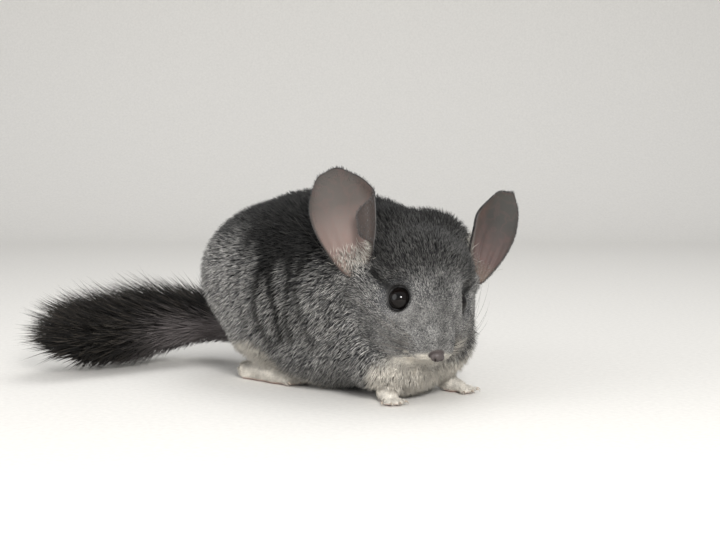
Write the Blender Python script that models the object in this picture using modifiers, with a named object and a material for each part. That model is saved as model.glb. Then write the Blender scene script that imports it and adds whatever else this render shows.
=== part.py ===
"""A life-size model of a grey chinchilla, crouched with its head low and turned to its right.

The animal faces +X, its left side is +Y, and it rests on the floor at Z = 0. The origin is on the
floor, on the flat under the belly. Lengths are in metres, and the helper mm() turns millimetres
into metres.

The body is modelled whole, from rounded masses of flesh and coat, and then parted with thin cuts
into the pieces that a person would name. Ears, eyes, paws, feet and tail are pieces of their own.
"""

import math
import random

import bmesh
import bpy
from mathutils import Euler, Matrix, Vector


def mm(value):
    """Millimetres to metres."""
    return value * 0.001


# Driving dimensions, all of them outside the coat
EAR_LENGTH = mm(56)
EAR_WIDTH = mm(49)
EAR_THICKNESS = mm(1.4)
EYE_RADIUS = mm(6.7)

# The gap that keeps two touching pieces apart, and the offset that makes it with room to spare
GAP = mm(0.3)
SEAT_OFFSET = mm(0.45)

# How fine the whole body is before it is parted
FLESH_VOXEL = mm(2.0)
FLESH_SMOOTHING = 20
FLESH_TRIANGLES = 3500
PAW_VOXEL = mm(0.8)
PAW_SMOOTHING = 3
PAW_TRIANGLES = 320

# The head's own frame: it starts between the eyes, and is turned and bowed against the body
HEAD_ORIGIN = Vector((mm(73.6), mm(-10.4), mm(54.4)))
HEAD_TURN = math.radians(-22)
HEAD_BOW = math.radians(50)
HEAD_ROLL = math.radians(6)

COAT_GREY = (0.130, 0.130, 0.135)
COAT_PALE = (0.560, 0.540, 0.510)
EAR_SKIN = (0.230, 0.180, 0.170)
EYE_BLACK = (0.006, 0.005, 0.005)
TAIL_DARK = (0.030, 0.029, 0.028)

RANDOM_SEED = 12


def head_matrix():
    """The head's frame in the world: +X runs from the back of the head to the nose, +Y to the
    animal's left, and +Z out of the forehead."""
    turn = Matrix.Rotation(HEAD_TURN, 4, "Z")
    bow = Matrix.Rotation(HEAD_BOW, 4, "Y")
    roll = Matrix.Rotation(-HEAD_ROLL, 4, Vector((1, 0, 0)))
    return Matrix.Translation(HEAD_ORIGIN) @ turn @ roll @ bow


def clear_scene():
    for old in list(bpy.data.objects):
        bpy.data.objects.remove(old, do_unlink=True)


def new_collection(name):
    collection = bpy.data.collections.new(name)
    bpy.context.scene.collection.children.link(collection)
    return collection


def new_material(name, colour, roughness):
    material = bpy.data.materials.new(name)
    material.use_nodes = True
    shader = material.node_tree.nodes["Principled BSDF"]
    shader.inputs["Base Color"].default_value = (*colour, 1.0)
    shader.inputs["Roughness"].default_value = roughness
    return material


def new_object(name, mesh, collection):
    thing = bpy.data.objects.new(name, mesh)
    collection.objects.link(thing)
    return thing


def mesh_from(name, bm):
    mesh = bpy.data.meshes.new(name)
    bm.to_mesh(mesh)
    bm.free()
    return mesh


def ball(bm, centre, radii, turn=(0, 0, 0), frame=None, segments=24):
    """Adds one closed ellipsoid. centre and radii are in millimetres, and turn in degrees."""
    place = Matrix.Translation(Vector(centre) * 0.001)
    spin = Euler([math.radians(a) for a in turn]).to_matrix().to_4x4()
    size = Matrix.Diagonal((*(Vector(radii) * 0.001), 1))
    whole = place @ spin @ size
    if frame is not None:
        whole = frame @ whole
    bmesh.ops.create_uvsphere(
        bm, u_segments=segments, v_segments=segments * 3 // 5, radius=1.0, matrix=whole
    )


def apply_modifiers(thing):
    """Swaps the object's mesh for the one that its modifiers make."""
    bpy.context.view_layer.update()
    graph = bpy.context.evaluated_depsgraph_get()
    made = bpy.data.meshes.new_from_object(thing.evaluated_get(graph), depsgraph=graph)
    old = thing.data
    thing.modifiers.clear()
    thing.data = made
    bpy.data.meshes.remove(old)
    return thing


def triangle_count(mesh):
    return sum(len(face.vertices) - 2 for face in mesh.polygons)


def fuse_balls(name, bm, collection, voxel, smoothing, triangles):
    """Melts overlapping closed forms into one smooth skin of about so many triangles."""
    thing = new_object(name, mesh_from(name, bm), collection)
    remesh = thing.modifiers.new("Melt", "REMESH")
    remesh.mode = "VOXEL"
    remesh.voxel_size = voxel
    smooth = thing.modifiers.new("Soften", "SMOOTH")
    smooth.factor = 0.5
    smooth.iterations = smoothing
    apply_modifiers(thing)
    thin_out(thing, triangles)
    return thing


def thin_out(thing, triangles):
    decimate = thing.modifiers.new("Thin out", "DECIMATE")
    decimate.ratio = min(1.0, triangles / triangle_count(thing.data))
    return apply_modifiers(thing)


def combine(target, operation, cutter, solver="EXACT"):
    boolean = target.modifiers.new(operation.title(), "BOOLEAN")
    boolean.operation = operation
    boolean.solver = solver
    boolean.object = cutter
    return apply_modifiers(target)


def combine_all(target, operation, collection, solver="EXACT"):
    """One Boolean with every object of a collection, which is emptied afterwards."""
    boolean = target.modifiers.new(operation.title(), "BOOLEAN")
    boolean.operation = operation
    boolean.solver = solver
    boolean.operand_type = "COLLECTION"
    boolean.collection = collection
    apply_modifiers(target)
    for used in list(collection.objects):
        bpy.data.objects.remove(used, do_unlink=True)
    return target


def keep_largest(thing):
    """Keeps the largest closed surface, and drops what a cut left loose."""
    bm = bmesh.new()
    bm.from_mesh(thing.data)
    bmesh.ops.remove_doubles(bm, verts=bm.verts, dist=mm(0.002))
    unseen = set(bm.verts)
    islands = []
    while unseen:
        seed = unseen.pop()
        island = {seed}
        border = [seed]
        while border:
            vertex = border.pop()
            for edge in vertex.link_edges:
                other = edge.other_vert(vertex)
                if other in unseen:
                    unseen.remove(other)
                    island.add(other)
                    border.append(other)
        islands.append(island)
    islands.sort(key=len, reverse=True)
    loose = [vertex for island in islands[1:] for vertex in island]
    bmesh.ops.delete(bm, geom=loose, context="VERTS")
    bm.to_mesh(thing.data)
    bm.free()
    return thing


def copy_of(thing, name, collection):
    return new_object(name, thing.data.copy(), collection)


def swollen(thing, name, collection, offset=SEAT_OFFSET):
    """A copy whose surface stands off by the gap, which seats a neighbour on it."""
    copy = copy_of(thing, name, collection)
    displace = copy.modifiers.new("Stand off", "DISPLACE")
    displace.mid_level = 0.0
    displace.strength = offset
    return apply_modifiers(copy)


def half_space(name, collection, point, normal, offset=0.0):
    """A large box that covers all that lies past a plane, on the side that the normal points to."""
    side = mm(400)
    normal = Vector(normal).normalized()
    bm = bmesh.new()
    bmesh.ops.create_cube(bm, size=side)
    box = new_object(name, mesh_from(name, bm), collection)
    centre = Vector(point) + normal * (side / 2 + offset)
    turn = normal.to_track_quat("Z", "Y").to_matrix().to_4x4()
    box.data.transform(Matrix.Translation(centre) @ turn)
    return box


def cut_with(thing, cutter):
    combine(thing, "DIFFERENCE", cutter)
    bpy.data.objects.remove(cutter, do_unlink=True)
    return thing


def stand_on_floor(thing, helpers):
    """Cuts off all that lies under the floor, which leaves the flat that the piece rests on."""
    return cut_with(thing, half_space("floor_cut", helpers, (0, 0, 0), (0, 0, -1)))


# The masses of the body, as centre and radii in millimetres
TORSO_MASSES = (
    ((-20, 0, 58), (63, 57, 53)),
    ((-36, 0, 56), (55, 57, 50)),
    ((-50, 0, 60), (47, 55, 44)),
    ((-48, 0, 44), (36, 46, 34)),
    ((12, -1, 57), (48, 51, 52)),
    ((34, -2, 40), (34, 40, 38)),
    ((38, -3, 67), (32, 38, 37)),
    ((48, 15, 76), (26, 30, 26)),
    ((44, 10, 38), (28, 32, 32)),
    ((54, 15, 33), (23, 26, 27)),
    ((47, -4, 27), (28, 37, 28)),
    ((0, 0, 24), (52, 46, 26)),
)
HAUNCH_MASS = ((-32, 30, 42), (33, 25, 32))
SHOULDER_MASS = ((28, 28, 40), (24, 16, 30))

# The masses of the head, in its own frame
HEAD_MASSES = (
    ((-20, 0, 0), (26, 29, 25)),
    ((-3, 0, 3), (22, 20, 17)),
    ((14, 0, -3), (18, 12.5, 13)),
    ((29.5, 0, -1.5), (4.5, 5, 4.5)),
    ((13, 0, -15), (13, 10, 8)),
    ((-26, 0, -10), (22, 26, 24)),
    ((-19, 0, 8), (17, 25, 18)),
)
HEAD_SIDE_MASSES = (
    ((-1, 17, -13), (19, 16, 14)),
    ((20, 6.5, -7), (12, 8, 8)),
    ((-14, 19, -15), (23, 18, 18)),
    ((-20, 19, 5), (15, 11, 14)),
    ((0, 14.8, 0.3), (8.6, 8.6, 8.6)),
)
EAR_PLACE = (-20, 36, -6)
EAR_BACK = math.radians(10)

# Each ear is held in its own way: how far it leans out and where its opening faces, in degrees;
# the halves of its width before and behind the middle, and the belly of the front margin, against
# half the ear's width; how wide it is rolled above, how tightly its front margin folds over and
# from where, and how far its tip bends back, in millimetres
EAR_HOLDS = {
    "left": {"out": 23, "facing": -15, "front": 0.58, "rear": 0.47, "belly": 0.25,
             "roll": 18, "fold": 1.2, "fold_from": 0.5, "bend": 2},
    "right": {"out": 16, "facing": 20, "front": 0.95, "rear": 0.74, "belly": 0.7,
              "roll": 25, "fold": 4.8, "fold_from": 0.82, "bend": 5},
}
EYE_PLACE = (0, 15.4, 0.6)
EYE_AXIS = (0.22, 0.76, 0.60)
EYE_OPENING = (6.1, 5.8)
LID_DISH = (9.6, 9.0, 4.2)
NOSTRIL_PLACE = (32.6, 2.4, -1.0)
NOSTRIL_SIZE = (3, 0.9, 1.5)
MOUTH_LINE = ((25, -9.5, -13), (28.5, -7, -11.2), (30.6, -4, -9.6), (31.4, 0, -8.8),
              (30.6, 4, -9.6), (28.5, 7, -11.2), (25, 9.5, -13))
LIP_CLEFT = ((34.0, 0, -2.5), (33.0, 0, -5.5), (31.4, 0, -9))

# The parting planes of head and neck, each as a point and the direction towards the nose
HEAD_PLANE = ((mm(57), mm(-8), mm(58)), (0.92, -0.20, 0.33))
NECK_PLANE = ((mm(36), mm(-3), mm(58)), (0.95, -0.08, 0.31))

# The path of the tail from its root, with the radius of its core, in millimetres
TAIL_PATH = (
    ((-84, 4, 24), 11),
    ((-100, -1, 22), 12),
    ((-116, -13, 21), 13),
    ((-127, -33, 18), 14),
    ((-132, -52, 15), 14),
    ((-135, -70, 14), 13),
    ((-135, -86, 14), 9),
)
TAIL_STATIONS = 13
TAIL_PARTINGS = (0.36, 0.68)
TAIL_SLANT = math.radians(38)
LOCK_WIDTH = mm(9)
LOCK_THICKNESS = mm(3.2)

# The rounded cut that parts each haunch, as centre and radii in millimetres
HAUNCH_CUT = ((-40, 42, 36), (37, 27, 34))

SIDES = (("left", 1), ("right", -1))
FOREPAW_PLACES = (("left", (60, 26, 0), 8), ("right", (56, -22, 0), -28))
HIND_FOOT_PLACES = (("left", (-33, 30, 0), -8), ("right", (-33, -29, 0), 8))


def flipped(mass):
    (x, y, z), radii = mass
    return (x, -y, z), radii


def build_flesh(collection):
    """The body and head in one skin."""
    bm = bmesh.new()
    for centre, radii in TORSO_MASSES:
        ball(bm, centre, radii)
    for side_mass in (HAUNCH_MASS, SHOULDER_MASS):
        ball(bm, *side_mass)
        ball(bm, *flipped(side_mass))
    frame = head_matrix()
    for centre, radii in HEAD_MASSES:
        ball(bm, centre, radii, frame=frame)
    for side_mass in HEAD_SIDE_MASSES:
        ball(bm, *side_mass, frame=frame)
        ball(bm, *flipped(side_mass), frame=frame)
    return fuse_balls("flesh", bm, collection, FLESH_VOXEL, FLESH_SMOOTHING, FLESH_TRIANGLES)


def rod(name, points, radii, collection, frame=None, sides=1):
    """A round rod along points in millimetres, as a closed mesh."""
    curve = bpy.data.curves.new(name, "CURVE")
    curve.dimensions = "3D"
    curve.bevel_depth = 0.001
    curve.bevel_resolution = sides
    curve.use_fill_caps = True
    spline = curve.splines.new("POLY")
    spline.points.add(len(points) - 1)
    for point, place, radius in zip(spline.points, points, radii):
        where = Vector(place) * 0.001
        if frame is not None:
            where = frame @ where
        point.co = (*where, 1.0)
        point.radius = radius
    guide = new_object(name + "_guide", curve, collection)
    bpy.context.view_layer.update()
    graph = bpy.context.evaluated_depsgraph_get()
    mesh = bpy.data.meshes.new_from_object(guide.evaluated_get(graph), depsgraph=graph)
    bpy.data.objects.remove(guide, do_unlink=True)
    bm = bmesh.new()
    bm.from_mesh(mesh)
    bmesh.ops.remove_doubles(bm, verts=bm.verts, dist=mm(0.01))
    bmesh.ops.recalc_face_normals(bm, faces=bm.faces)
    bm.to_mesh(mesh)
    bm.free()
    return new_object(name, mesh, collection)


def ball_object(name, centre, radii, collection, turn=(0, 0, 0), frame=None, segments=20):
    bm = bmesh.new()
    ball(bm, centre, radii, turn, frame, segments)
    return new_object(name, mesh_from(name, bm), collection)


def eye_matrix(sign):
    """The eye's frame: +Z out between the lids, and +X towards the nose."""
    ahead, aside, above = EYE_AXIS
    look = Vector((ahead, aside * sign, above)).normalized()
    nose = (Vector((1, 0, 0)) - look * look.x).normalized()
    turn = Matrix((nose, look.cross(nose), look)).transposed().to_4x4()
    x, y, z = EYE_PLACE
    return head_matrix() @ Matrix.Translation(Vector((x, y * sign, z)) * 0.001) @ turn


def build_eye(side, sign, collection):
    bm = bmesh.new()
    bmesh.ops.create_icosphere(bm, subdivisions=3, radius=EYE_RADIUS, matrix=eye_matrix(sign))
    return new_object("eye_" + side, mesh_from("eye_" + side, bm), collection)


def carve_face(head, helpers, cuts):
    """Eye sockets and openings between the lids, nostrils, the cleft lip and the mouth."""
    frame = head_matrix()
    socket = EYE_RADIUS * 1000 + 0.35
    nx, ny, nz = NOSTRIL_PLACE
    for sign in (1, -1):
        eye = eye_matrix(sign)
        ball_object("socket", (0, 0, 0), (socket,) * 3, cuts, frame=eye)
        ball_object("opening", (0, 0, 9), (*EYE_OPENING, 10), cuts, frame=eye)
        ball_object("lids", (0, 0, 7.6), LID_DISH, cuts, frame=eye)
        ball_object("nostril", (nx, ny * sign, nz), NOSTRIL_SIZE, cuts, (25 * sign, 0, 0), frame, 10)
    combine_all(head, "DIFFERENCE", cuts)
    for line, radius in ((MOUTH_LINE, 0.9), (LIP_CLEFT, 0.6)):
        cut_with(head, rod("groove", line, [radius] * len(line), helpers, frame))
    return keep_largest(head)


def ear_outline(t):
    """How wide the ear is at a height from 0 at its base to 1 at its tip, against its widest."""
    return 0.80 + 0.20 * math.sin(math.pi * min(t * 1.15, 1.0) - 0.5)


def ear_section(reach, height, front, hold):
    """The ear's cross-section at a height: walks from the middle of the ear along its curled
    sheet, and gives the place across and towards the opening."""
    steps = 24
    across = 0.0
    forward = 0.0
    roll_radius = mm(9) + mm(hold["roll"]) * height ** 1.2
    for step in range(steps):
        walked = reach * (step + 0.5) / steps
        angle = abs(walked) / roll_radius
        edge = abs(walked) / (EAR_WIDTH / 2)
        if front:
            folded = max(0.0, edge - hold["fold_from"])
            angle += hold["fold"] * folded * (1 - height) ** 0.35
        across += math.cos(angle) * abs(reach) / steps
        forward += math.sin(angle) * abs(reach) / steps
    return math.copysign(across, reach), forward


def build_ear(side, sign, collection):
    """A cupped sheet, wide above and rolled into a tube below, with its front margin folded."""
    hold = EAR_HOLDS[side]
    cells = 12
    bm = bmesh.new()
    bmesh.ops.create_grid(bm, x_segments=cells, y_segments=cells, size=1.0)
    for vertex in bm.verts:
        x, y, _ = vertex.co
        across = x * math.sqrt(1 - y * y / 2)
        up = y * math.sqrt(1 - x * x / 2)
        height = (up + 1) / 2
        front = across * sign < 0
        belly = hold["belly"] * math.exp(-((height - 0.42) / 0.22) ** 2)
        wide = hold["front"] + belly if front else hold["rear"]
        reach = across * ear_outline(height) * wide * EAR_WIDTH / 2
        side_way, forward = ear_section(reach, height, front, hold)
        bend = mm(hold["bend"]) * height * height
        vertex.co = (forward - bend, side_way, height * EAR_LENGTH)
    bmesh.ops.triangulate(bm, faces=bm.faces)
    ear = new_object("ear_" + side, mesh_from("ear_" + side, bm), collection)
    solidify = ear.modifiers.new("Sheet", "SOLIDIFY")
    solidify.thickness = EAR_THICKNESS
    solidify.offset = 0.0
    apply_modifiers(ear)
    ear.data.transform(ear_matrix(side, sign))
    return ear


def ear_matrix(side, sign):
    """The ear's frame: +Z up its length, and +X out of its opening."""
    base = head_matrix() @ (Vector(EAR_PLACE) * Vector((1, sign, 1)) * 0.001)
    turn = Matrix.Rotation(HEAD_TURN, 4, "Z")
    roll = Matrix.Rotation(-HEAD_ROLL, 4, "X")
    back = Matrix.Rotation(-EAR_BACK, 4, "Y")
    out = Matrix.Rotation(-math.radians(EAR_HOLDS[side]["out"]) * sign, 4, "X")
    facing = Matrix.Rotation(math.radians(EAR_HOLDS[side]["facing"]) * sign, 4, "Z")
    return Matrix.Translation(base) @ turn @ roll @ out @ back @ facing


def build_forepaw(side, place, heading, collection):
    """Forearm and paw, with four short toes spread on the floor."""
    x, y, z = place
    frame = Matrix.Translation(Vector((x, y, z)) * 0.001)
    frame = frame @ Matrix.Rotation(math.radians(heading), 4, "Z")
    bm = bmesh.new()
    ball(bm, (-1, 0, 3.6), (8, 6, 4.2), frame=frame)
    ball(bm, (-6, 0, 9), (5.5, 5.5, 9), (0, 20, 0), frame)
    ball(bm, (-11, 0, 18), (6.5, 6.5, 12), (0, 25, 0), frame)
    for index, spread in enumerate((-27, -9, 9, 27)):
        angle = math.radians(spread)
        length = 8.5 if abs(spread) < 20 else 7.0
        for step in range(3):
            far = 4.5 + length * (step + 0.5) / 3
            height = 2.8 - 0.5 * step
            centre = (far * math.cos(angle), far * math.sin(angle) * 1.15, height)
            ball(bm, centre, (2.6, 1.7, 2.0), (0, 10, spread), frame)
    return fuse_balls("foreleg_" + side, bm, collection, PAW_VOXEL, PAW_SMOOTHING, PAW_TRIANGLES)


def build_hind_foot(side, place, heading, collection):
    """The long flat hind foot, from heel to three toes."""
    sign = 1 if side == "left" else -1
    frame = Matrix.Translation(Vector(place) * 0.001)
    frame = frame @ Matrix.Rotation(math.radians(heading), 4, "Z")
    bm = bmesh.new()
    ball(bm, (-17, 0, 5), (7.5, 5.5, 6), frame=frame)
    ball(bm, (-6, 0, 4.5), (14, 5.5, 5.2), frame=frame)
    ball(bm, (5, 0, 4), (10, 7, 4.8), frame=frame)
    for spread, length in ((-16, 9), (0, 11), (16, 9)):
        angle = math.radians(spread)
        for step in range(4):
            far = 10 + length * (step + 0.5) / 4
            centre = (far * math.cos(angle), far * math.sin(angle), 3.0 - 0.3 * step)
            ball(bm, centre, (3.0, 2.0, 2.3), (0, 8, spread), frame)
    return fuse_balls("hindfoot_" + side, bm, collection, PAW_VOXEL, PAW_SMOOTHING, PAW_TRIANGLES)


def tail_point(share):
    """The centre, direction and radius of the tail's core at a share of its length."""
    spans = len(TAIL_PATH) - 1
    at = min(max(share, 0.0), 1.0) * spans
    index = min(int(at), spans - 1)
    part = at - index
    rows = [TAIL_PATH[min(max(index + shift, 0), spans)] for shift in (-1, 0, 1, 2)]
    p0, p1, p2, p3 = (Vector(row[0]) for row in rows)
    tangent1 = (p2 - p0) * 0.5
    tangent2 = (p3 - p1) * 0.5
    square = part * part
    cube = square * part
    centre = p1 * (2 * cube - 3 * square + 1) + tangent1 * (cube - 2 * square + part)
    centre += p2 * (3 * square - 2 * cube) + tangent2 * (cube - square)
    along = p1 * (6 * square - 6 * part) + tangent1 * (3 * square - 4 * part + 1)
    along += p2 * (6 * part - 6 * square) + tangent2 * (3 * square - 2 * part)
    radius = rows[1][1] * (1 - part) + rows[2][1] * part
    return centre * 0.001, along.normalized(), radius * 0.001


def build_tail_core(collection):
    count = 17
    points = []
    radii = []
    for index in range(count):
        share = index / (count - 1)
        centre, along, radius = tail_point(share)
        points.append(centre * 1000)
        radii.append(radius * 1000)
    core = rod("tail", points, radii, collection, sides=2)
    return core


def build_lock(name, length, width, thickness, bend, turn, collection):
    """One flat lock of bristles along +Z, turned about itself, with its tip bent towards +X."""
    bm = bmesh.new()
    bmesh.ops.create_cone(
        bm, cap_ends=True, segments=4, radius1=0.5, radius2=0.05, depth=1.0,
        matrix=Matrix.Translation((0, 0, 0.5)),
    )
    for height in (0.33, 0.68):
        geometry = list(bm.verts) + list(bm.edges) + list(bm.faces)
        bmesh.ops.bisect_plane(bm, geom=geometry, plane_co=(0, 0, height), plane_no=(0, 0, 1))
    for vertex in bm.verts:
        x, y, z = vertex.co
        fullness = 0.8 + 1.3 * math.sin(math.pi * z ** 0.9) if z < 0.99 else 1.0
        wide = y * width * fullness
        thick = x * thickness * fullness
        lean = bend * z * 0.5
        vertex.co.x = thick * math.cos(turn) - wide * math.sin(turn) + length * z * math.sin(lean)
        vertex.co.y = thick * math.sin(turn) + wide * math.cos(turn)
        vertex.co.z = length * z * math.cos(lean)
    return new_object(name, mesh_from(name, bm), collection)


def lock_matrix(share, around, sweep):
    """Where a lock stands: around is 0 on top of the tail, and sweep is how far it leans along
    the tail, both in radians."""
    centre, along, radius = tail_point(share)
    up = (Vector((0, 0, 1)) - along * along.z).normalized()
    side = along.cross(up)
    out = up * math.cos(around) + side * math.sin(around)
    flat = along.cross(out)
    lie = out * math.cos(sweep) + along * math.sin(sweep)
    face = along * math.cos(sweep) - out * math.sin(sweep)
    turn = Matrix((face, flat, lie)).transposed()
    root = centre + out * radius * 0.55
    return Matrix.Translation(root) @ turn.to_4x4()


def build_tail(collection, locks):
    """The core with its bristles, which are long on top and short under the root."""
    draw = random.Random(RANDOM_SEED)
    core = build_tail_core(collection)
    count = 0
    for station in range(TAIL_STATIONS):
        share = 0.14 + 0.86 * station / (TAIL_STATIONS - 1)
        for row in range(-3, 4):
            around = math.radians(31) * (row + (0.5 if station % 2 else 0.0))
            if abs(around) > math.radians(100):
                continue
            top = math.cos(around * 0.8)
            length = mm(22 + 20 * top) * draw.uniform(0.86, 1.12)
            if share < 0.45:
                length *= 0.14 + 1.9 * share
            sweep = math.radians(24 + 20 * share + 18 * (1 - top) + draw.uniform(-7, 7))
            bend = math.radians(draw.uniform(24, 44))
            turn = math.radians(draw.uniform(-60, 60))
            width = LOCK_WIDTH * draw.uniform(0.85, 1.15)
            lock = build_lock("lock", length, width, LOCK_THICKNESS, bend, turn, locks)
            lock.data.transform(lock_matrix(share, around, sweep))
            count += 1
    combine_all(core, "UNION", locks)
    return keep_largest(core)


def part_at(thing, helpers, plane, keep_front):
    """Keeps what lies in front of a parting plane, or behind it, short of it by half the gap."""
    point, normal = plane
    direction = Vector(normal).normalized()
    if keep_front:
        direction = -direction
    return cut_with(thing, half_space("parting", helpers, point, direction, -GAP / 2))


def part_hind_leg(torso, side, sign, collection, helpers):
    """Parts one haunch from the torso along a rounded cut, as the thigh lies on the flank."""
    (x, y, z), radii = HAUNCH_CUT
    leg = copy_of(torso, "hindleg_" + side, collection)
    inner = ball_object("thigh", (x, y * sign, z), radii, helpers, segments=16)
    combine(leg, "INTERSECT", inner)
    bpy.data.objects.remove(inner, do_unlink=True)
    outer_radii = tuple(radius + GAP * 1000 for radius in radii)
    cut_with(torso, ball_object("thigh", (x, y * sign, z), outer_radii, helpers, segments=16))
    return keep_largest(leg)


def part_tail(tail, collection, helpers):
    """Parts the tail in three lengths, along slanting cuts that follow the lie of the bristles."""
    names = ("tail_root", "tail_middle", "tail_tip")
    planes = []
    for share in TAIL_PARTINGS:
        centre, along, _ = tail_point(share)
        up = (Vector((0, 0, 1)) - along * along.z).normalized()
        planes.append((centre, along * math.cos(TAIL_SLANT) - up * math.sin(TAIL_SLANT)))
    pieces = []
    for index, name in enumerate(names):
        piece = copy_of(tail, name, collection)
        if index > 0:
            part_at(piece, helpers, planes[index - 1], True)
        if index < len(planes):
            part_at(piece, helpers, planes[index], False)
        pieces.append(keep_largest(piece))
    bpy.data.objects.remove(tail, do_unlink=True)
    return pieces


def paint(thing, material):
    thing.data.materials.clear()
    thing.data.materials.append(material)
    thing.data.shade_smooth()
    thing.data.set_sharp_from_angle(angle=math.radians(50))


def main():
    clear_scene()
    helpers = new_collection("helpers")
    cuts = new_collection("cuts")
    locks = new_collection("locks")
    chinchilla = new_collection("chinchilla")

    flesh = build_flesh(helpers)
    limbs = []
    for side, place, heading in FOREPAW_PLACES:
        limbs.append(build_forepaw(side, place, heading, chinchilla))
    for side, place, heading in HIND_FOOT_PLACES:
        limbs.append(build_hind_foot(side, place, heading, chinchilla))

    seat = swollen(flesh, "seat", helpers)
    ears = [build_ear(side, sign, chinchilla) for side, sign in SIDES]
    tail = build_tail(helpers, locks)
    for grown in (*ears, tail):
        combine(grown, "DIFFERENCE", seat)
        keep_largest(grown)
    bpy.data.objects.remove(seat, do_unlink=True)
    eyes = [build_eye(side, sign, chinchilla) for side, sign in SIDES]

    for limb in limbs:
        swollen(limb, "limb_seat", cuts)
    combine_all(flesh, "DIFFERENCE", cuts)

    head = copy_of(flesh, "head", chinchilla)
    part_at(head, helpers, HEAD_PLANE, True)
    carve_face(head, helpers, cuts)
    neck = copy_of(flesh, "neck", chinchilla)
    part_at(neck, helpers, HEAD_PLANE, False)
    part_at(neck, helpers, NECK_PLANE, True)
    torso = copy_of(flesh, "torso", chinchilla)
    part_at(torso, helpers, NECK_PLANE, False)
    bpy.data.objects.remove(flesh, do_unlink=True)
    hind_legs = [part_hind_leg(torso, side, sign, chinchilla, helpers) for side, sign in SIDES]
    tail_pieces = part_tail(tail, chinchilla, helpers)
    for resting in (neck, torso, *hind_legs, *limbs, *tail_pieces):
        stand_on_floor(resting, helpers)
        keep_largest(resting)

    grey = new_material("grey_coat", COAT_GREY, 0.9)
    pale = new_material("pale_coat", COAT_PALE, 0.9)
    ear_skin = new_material("ear_skin", EAR_SKIN, 0.6)
    eye_black = new_material("eye_black", EYE_BLACK, 0.1)
    tail_dark = new_material("tail_bristles", TAIL_DARK, 0.8)
    for things, material in (
        ((head, neck, torso, *hind_legs), grey),
        (limbs, pale),
        (ears, ear_skin),
        (eyes, eye_black),
        (tail_pieces, tail_dark),
    ):
        for thing in things:
            paint(thing, material)


if __name__ == "__main__":
    main()
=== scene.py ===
# %% [markdown]
# # A grey chinchilla, life size
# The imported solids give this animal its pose, its outline and the place of every part. This script
# gives it looks: one skin, a dense coat of real geometry, bristles on the tail, thin ears, wet eyes.
# The model is loaded first, and nothing that follows moves it.

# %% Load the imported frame
import math

import bmesh
import bpy
import numpy as np
from mathutils import Matrix, Vector
from mathutils.bvhtree import BVHTree
from mathutils.kdtree import KDTree


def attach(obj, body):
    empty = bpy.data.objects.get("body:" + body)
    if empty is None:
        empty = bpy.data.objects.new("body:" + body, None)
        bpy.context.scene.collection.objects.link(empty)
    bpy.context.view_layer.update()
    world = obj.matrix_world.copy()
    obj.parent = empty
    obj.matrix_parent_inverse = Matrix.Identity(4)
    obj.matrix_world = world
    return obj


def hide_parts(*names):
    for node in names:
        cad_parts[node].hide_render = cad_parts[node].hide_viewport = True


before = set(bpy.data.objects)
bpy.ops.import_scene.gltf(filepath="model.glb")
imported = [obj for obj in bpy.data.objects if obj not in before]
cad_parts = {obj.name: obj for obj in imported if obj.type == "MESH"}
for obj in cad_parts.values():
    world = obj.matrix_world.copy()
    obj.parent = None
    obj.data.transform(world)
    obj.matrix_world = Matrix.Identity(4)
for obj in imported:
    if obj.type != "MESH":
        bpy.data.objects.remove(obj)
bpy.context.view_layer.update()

draw = np.random.default_rng(11)
print("nodes:", ", ".join(sorted(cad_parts)))

# %% [markdown]
# ## Small tools
# Lengths are easiest to read in millimetres, and colours as the hex values that a picture editor
# shows. Blender's shaders want linear light, so one function turns the one into the other.

# %% Lengths, colours and soft steps
MM = 0.001


def linear(hex_colour):
    """A shader's linear colour from an sRGB hex value."""
    parts = [int(hex_colour[i:i + 2], 16) / 255 for i in (0, 2, 4)]
    return [p / 12.92 if p <= 0.04045 else ((p + 0.055) / 1.055) ** 2.4 for p in parts] + [1.0]


def soft_step(start, end, value):
    """0 before start and 1 after end, with a smooth rise between them. start may be the larger."""
    t = np.clip((value - start) / (end - start), 0.0, 1.0)
    return t * t * (3 - 2 * t)


def hump(value, centre, width):
    return np.exp(-((value - centre) / width) ** 2)


def unit(vectors):
    length = np.linalg.norm(vectors, axis=-1, keepdims=True)
    return vectors / np.maximum(length, 1e-9)


# %% [markdown]
# Meshes here have up to a million corners, so they are filled from NumPy arrays in one go. Filling
# them vertex by vertex in Python would take minutes.

# %% A mesh object from arrays
def add_object(name, data):
    thing = bpy.data.objects.new(name, data)
    bpy.context.scene.collection.objects.link(thing)
    return thing


def mesh_object(name, points, faces):
    """A smooth object from an array of points and one of faces, all with as many corners."""
    corners = faces.shape[1]
    mesh = bpy.data.meshes.new(name)
    mesh.vertices.add(len(points))
    mesh.vertices.foreach_set("co", points.astype(np.float32).ravel())
    mesh.loops.add(faces.size)
    mesh.loops.foreach_set("vertex_index", faces.astype(np.int32).ravel())
    mesh.polygons.add(len(faces))
    mesh.polygons.foreach_set("loop_start", np.arange(0, faces.size, corners, dtype=np.int32))
    mesh.update(calc_edges=True)
    mesh.shade_smooth()
    return add_object(name, mesh)


def read_points(mesh, what="co"):
    values = np.empty(len(mesh.vertices) * 3, np.float32)
    source = mesh.vertices if what == "co" else mesh.vertex_normals
    source.foreach_get("co" if what == "co" else "vector", values)
    return values.reshape(-1, 3).astype(float)


def write_points(mesh, points):
    mesh.vertices.foreach_set("co", points.astype(np.float32).ravel())
    mesh.update()


def paint_points(mesh, name, values):
    """Keeps four numbers for each vertex, which the materials read by name."""
    layer = mesh.attributes.new(name, "FLOAT_COLOR", "POINT")
    layer.data.foreach_set("color", values.astype(np.float32).ravel())


def apply_modifiers(thing):
    graph = bpy.context.evaluated_depsgraph_get()
    made = bpy.data.meshes.new_from_object(thing.evaluated_get(graph), depsgraph=graph)
    thing.modifiers.clear()
    thing.data = made
    return thing


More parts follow.
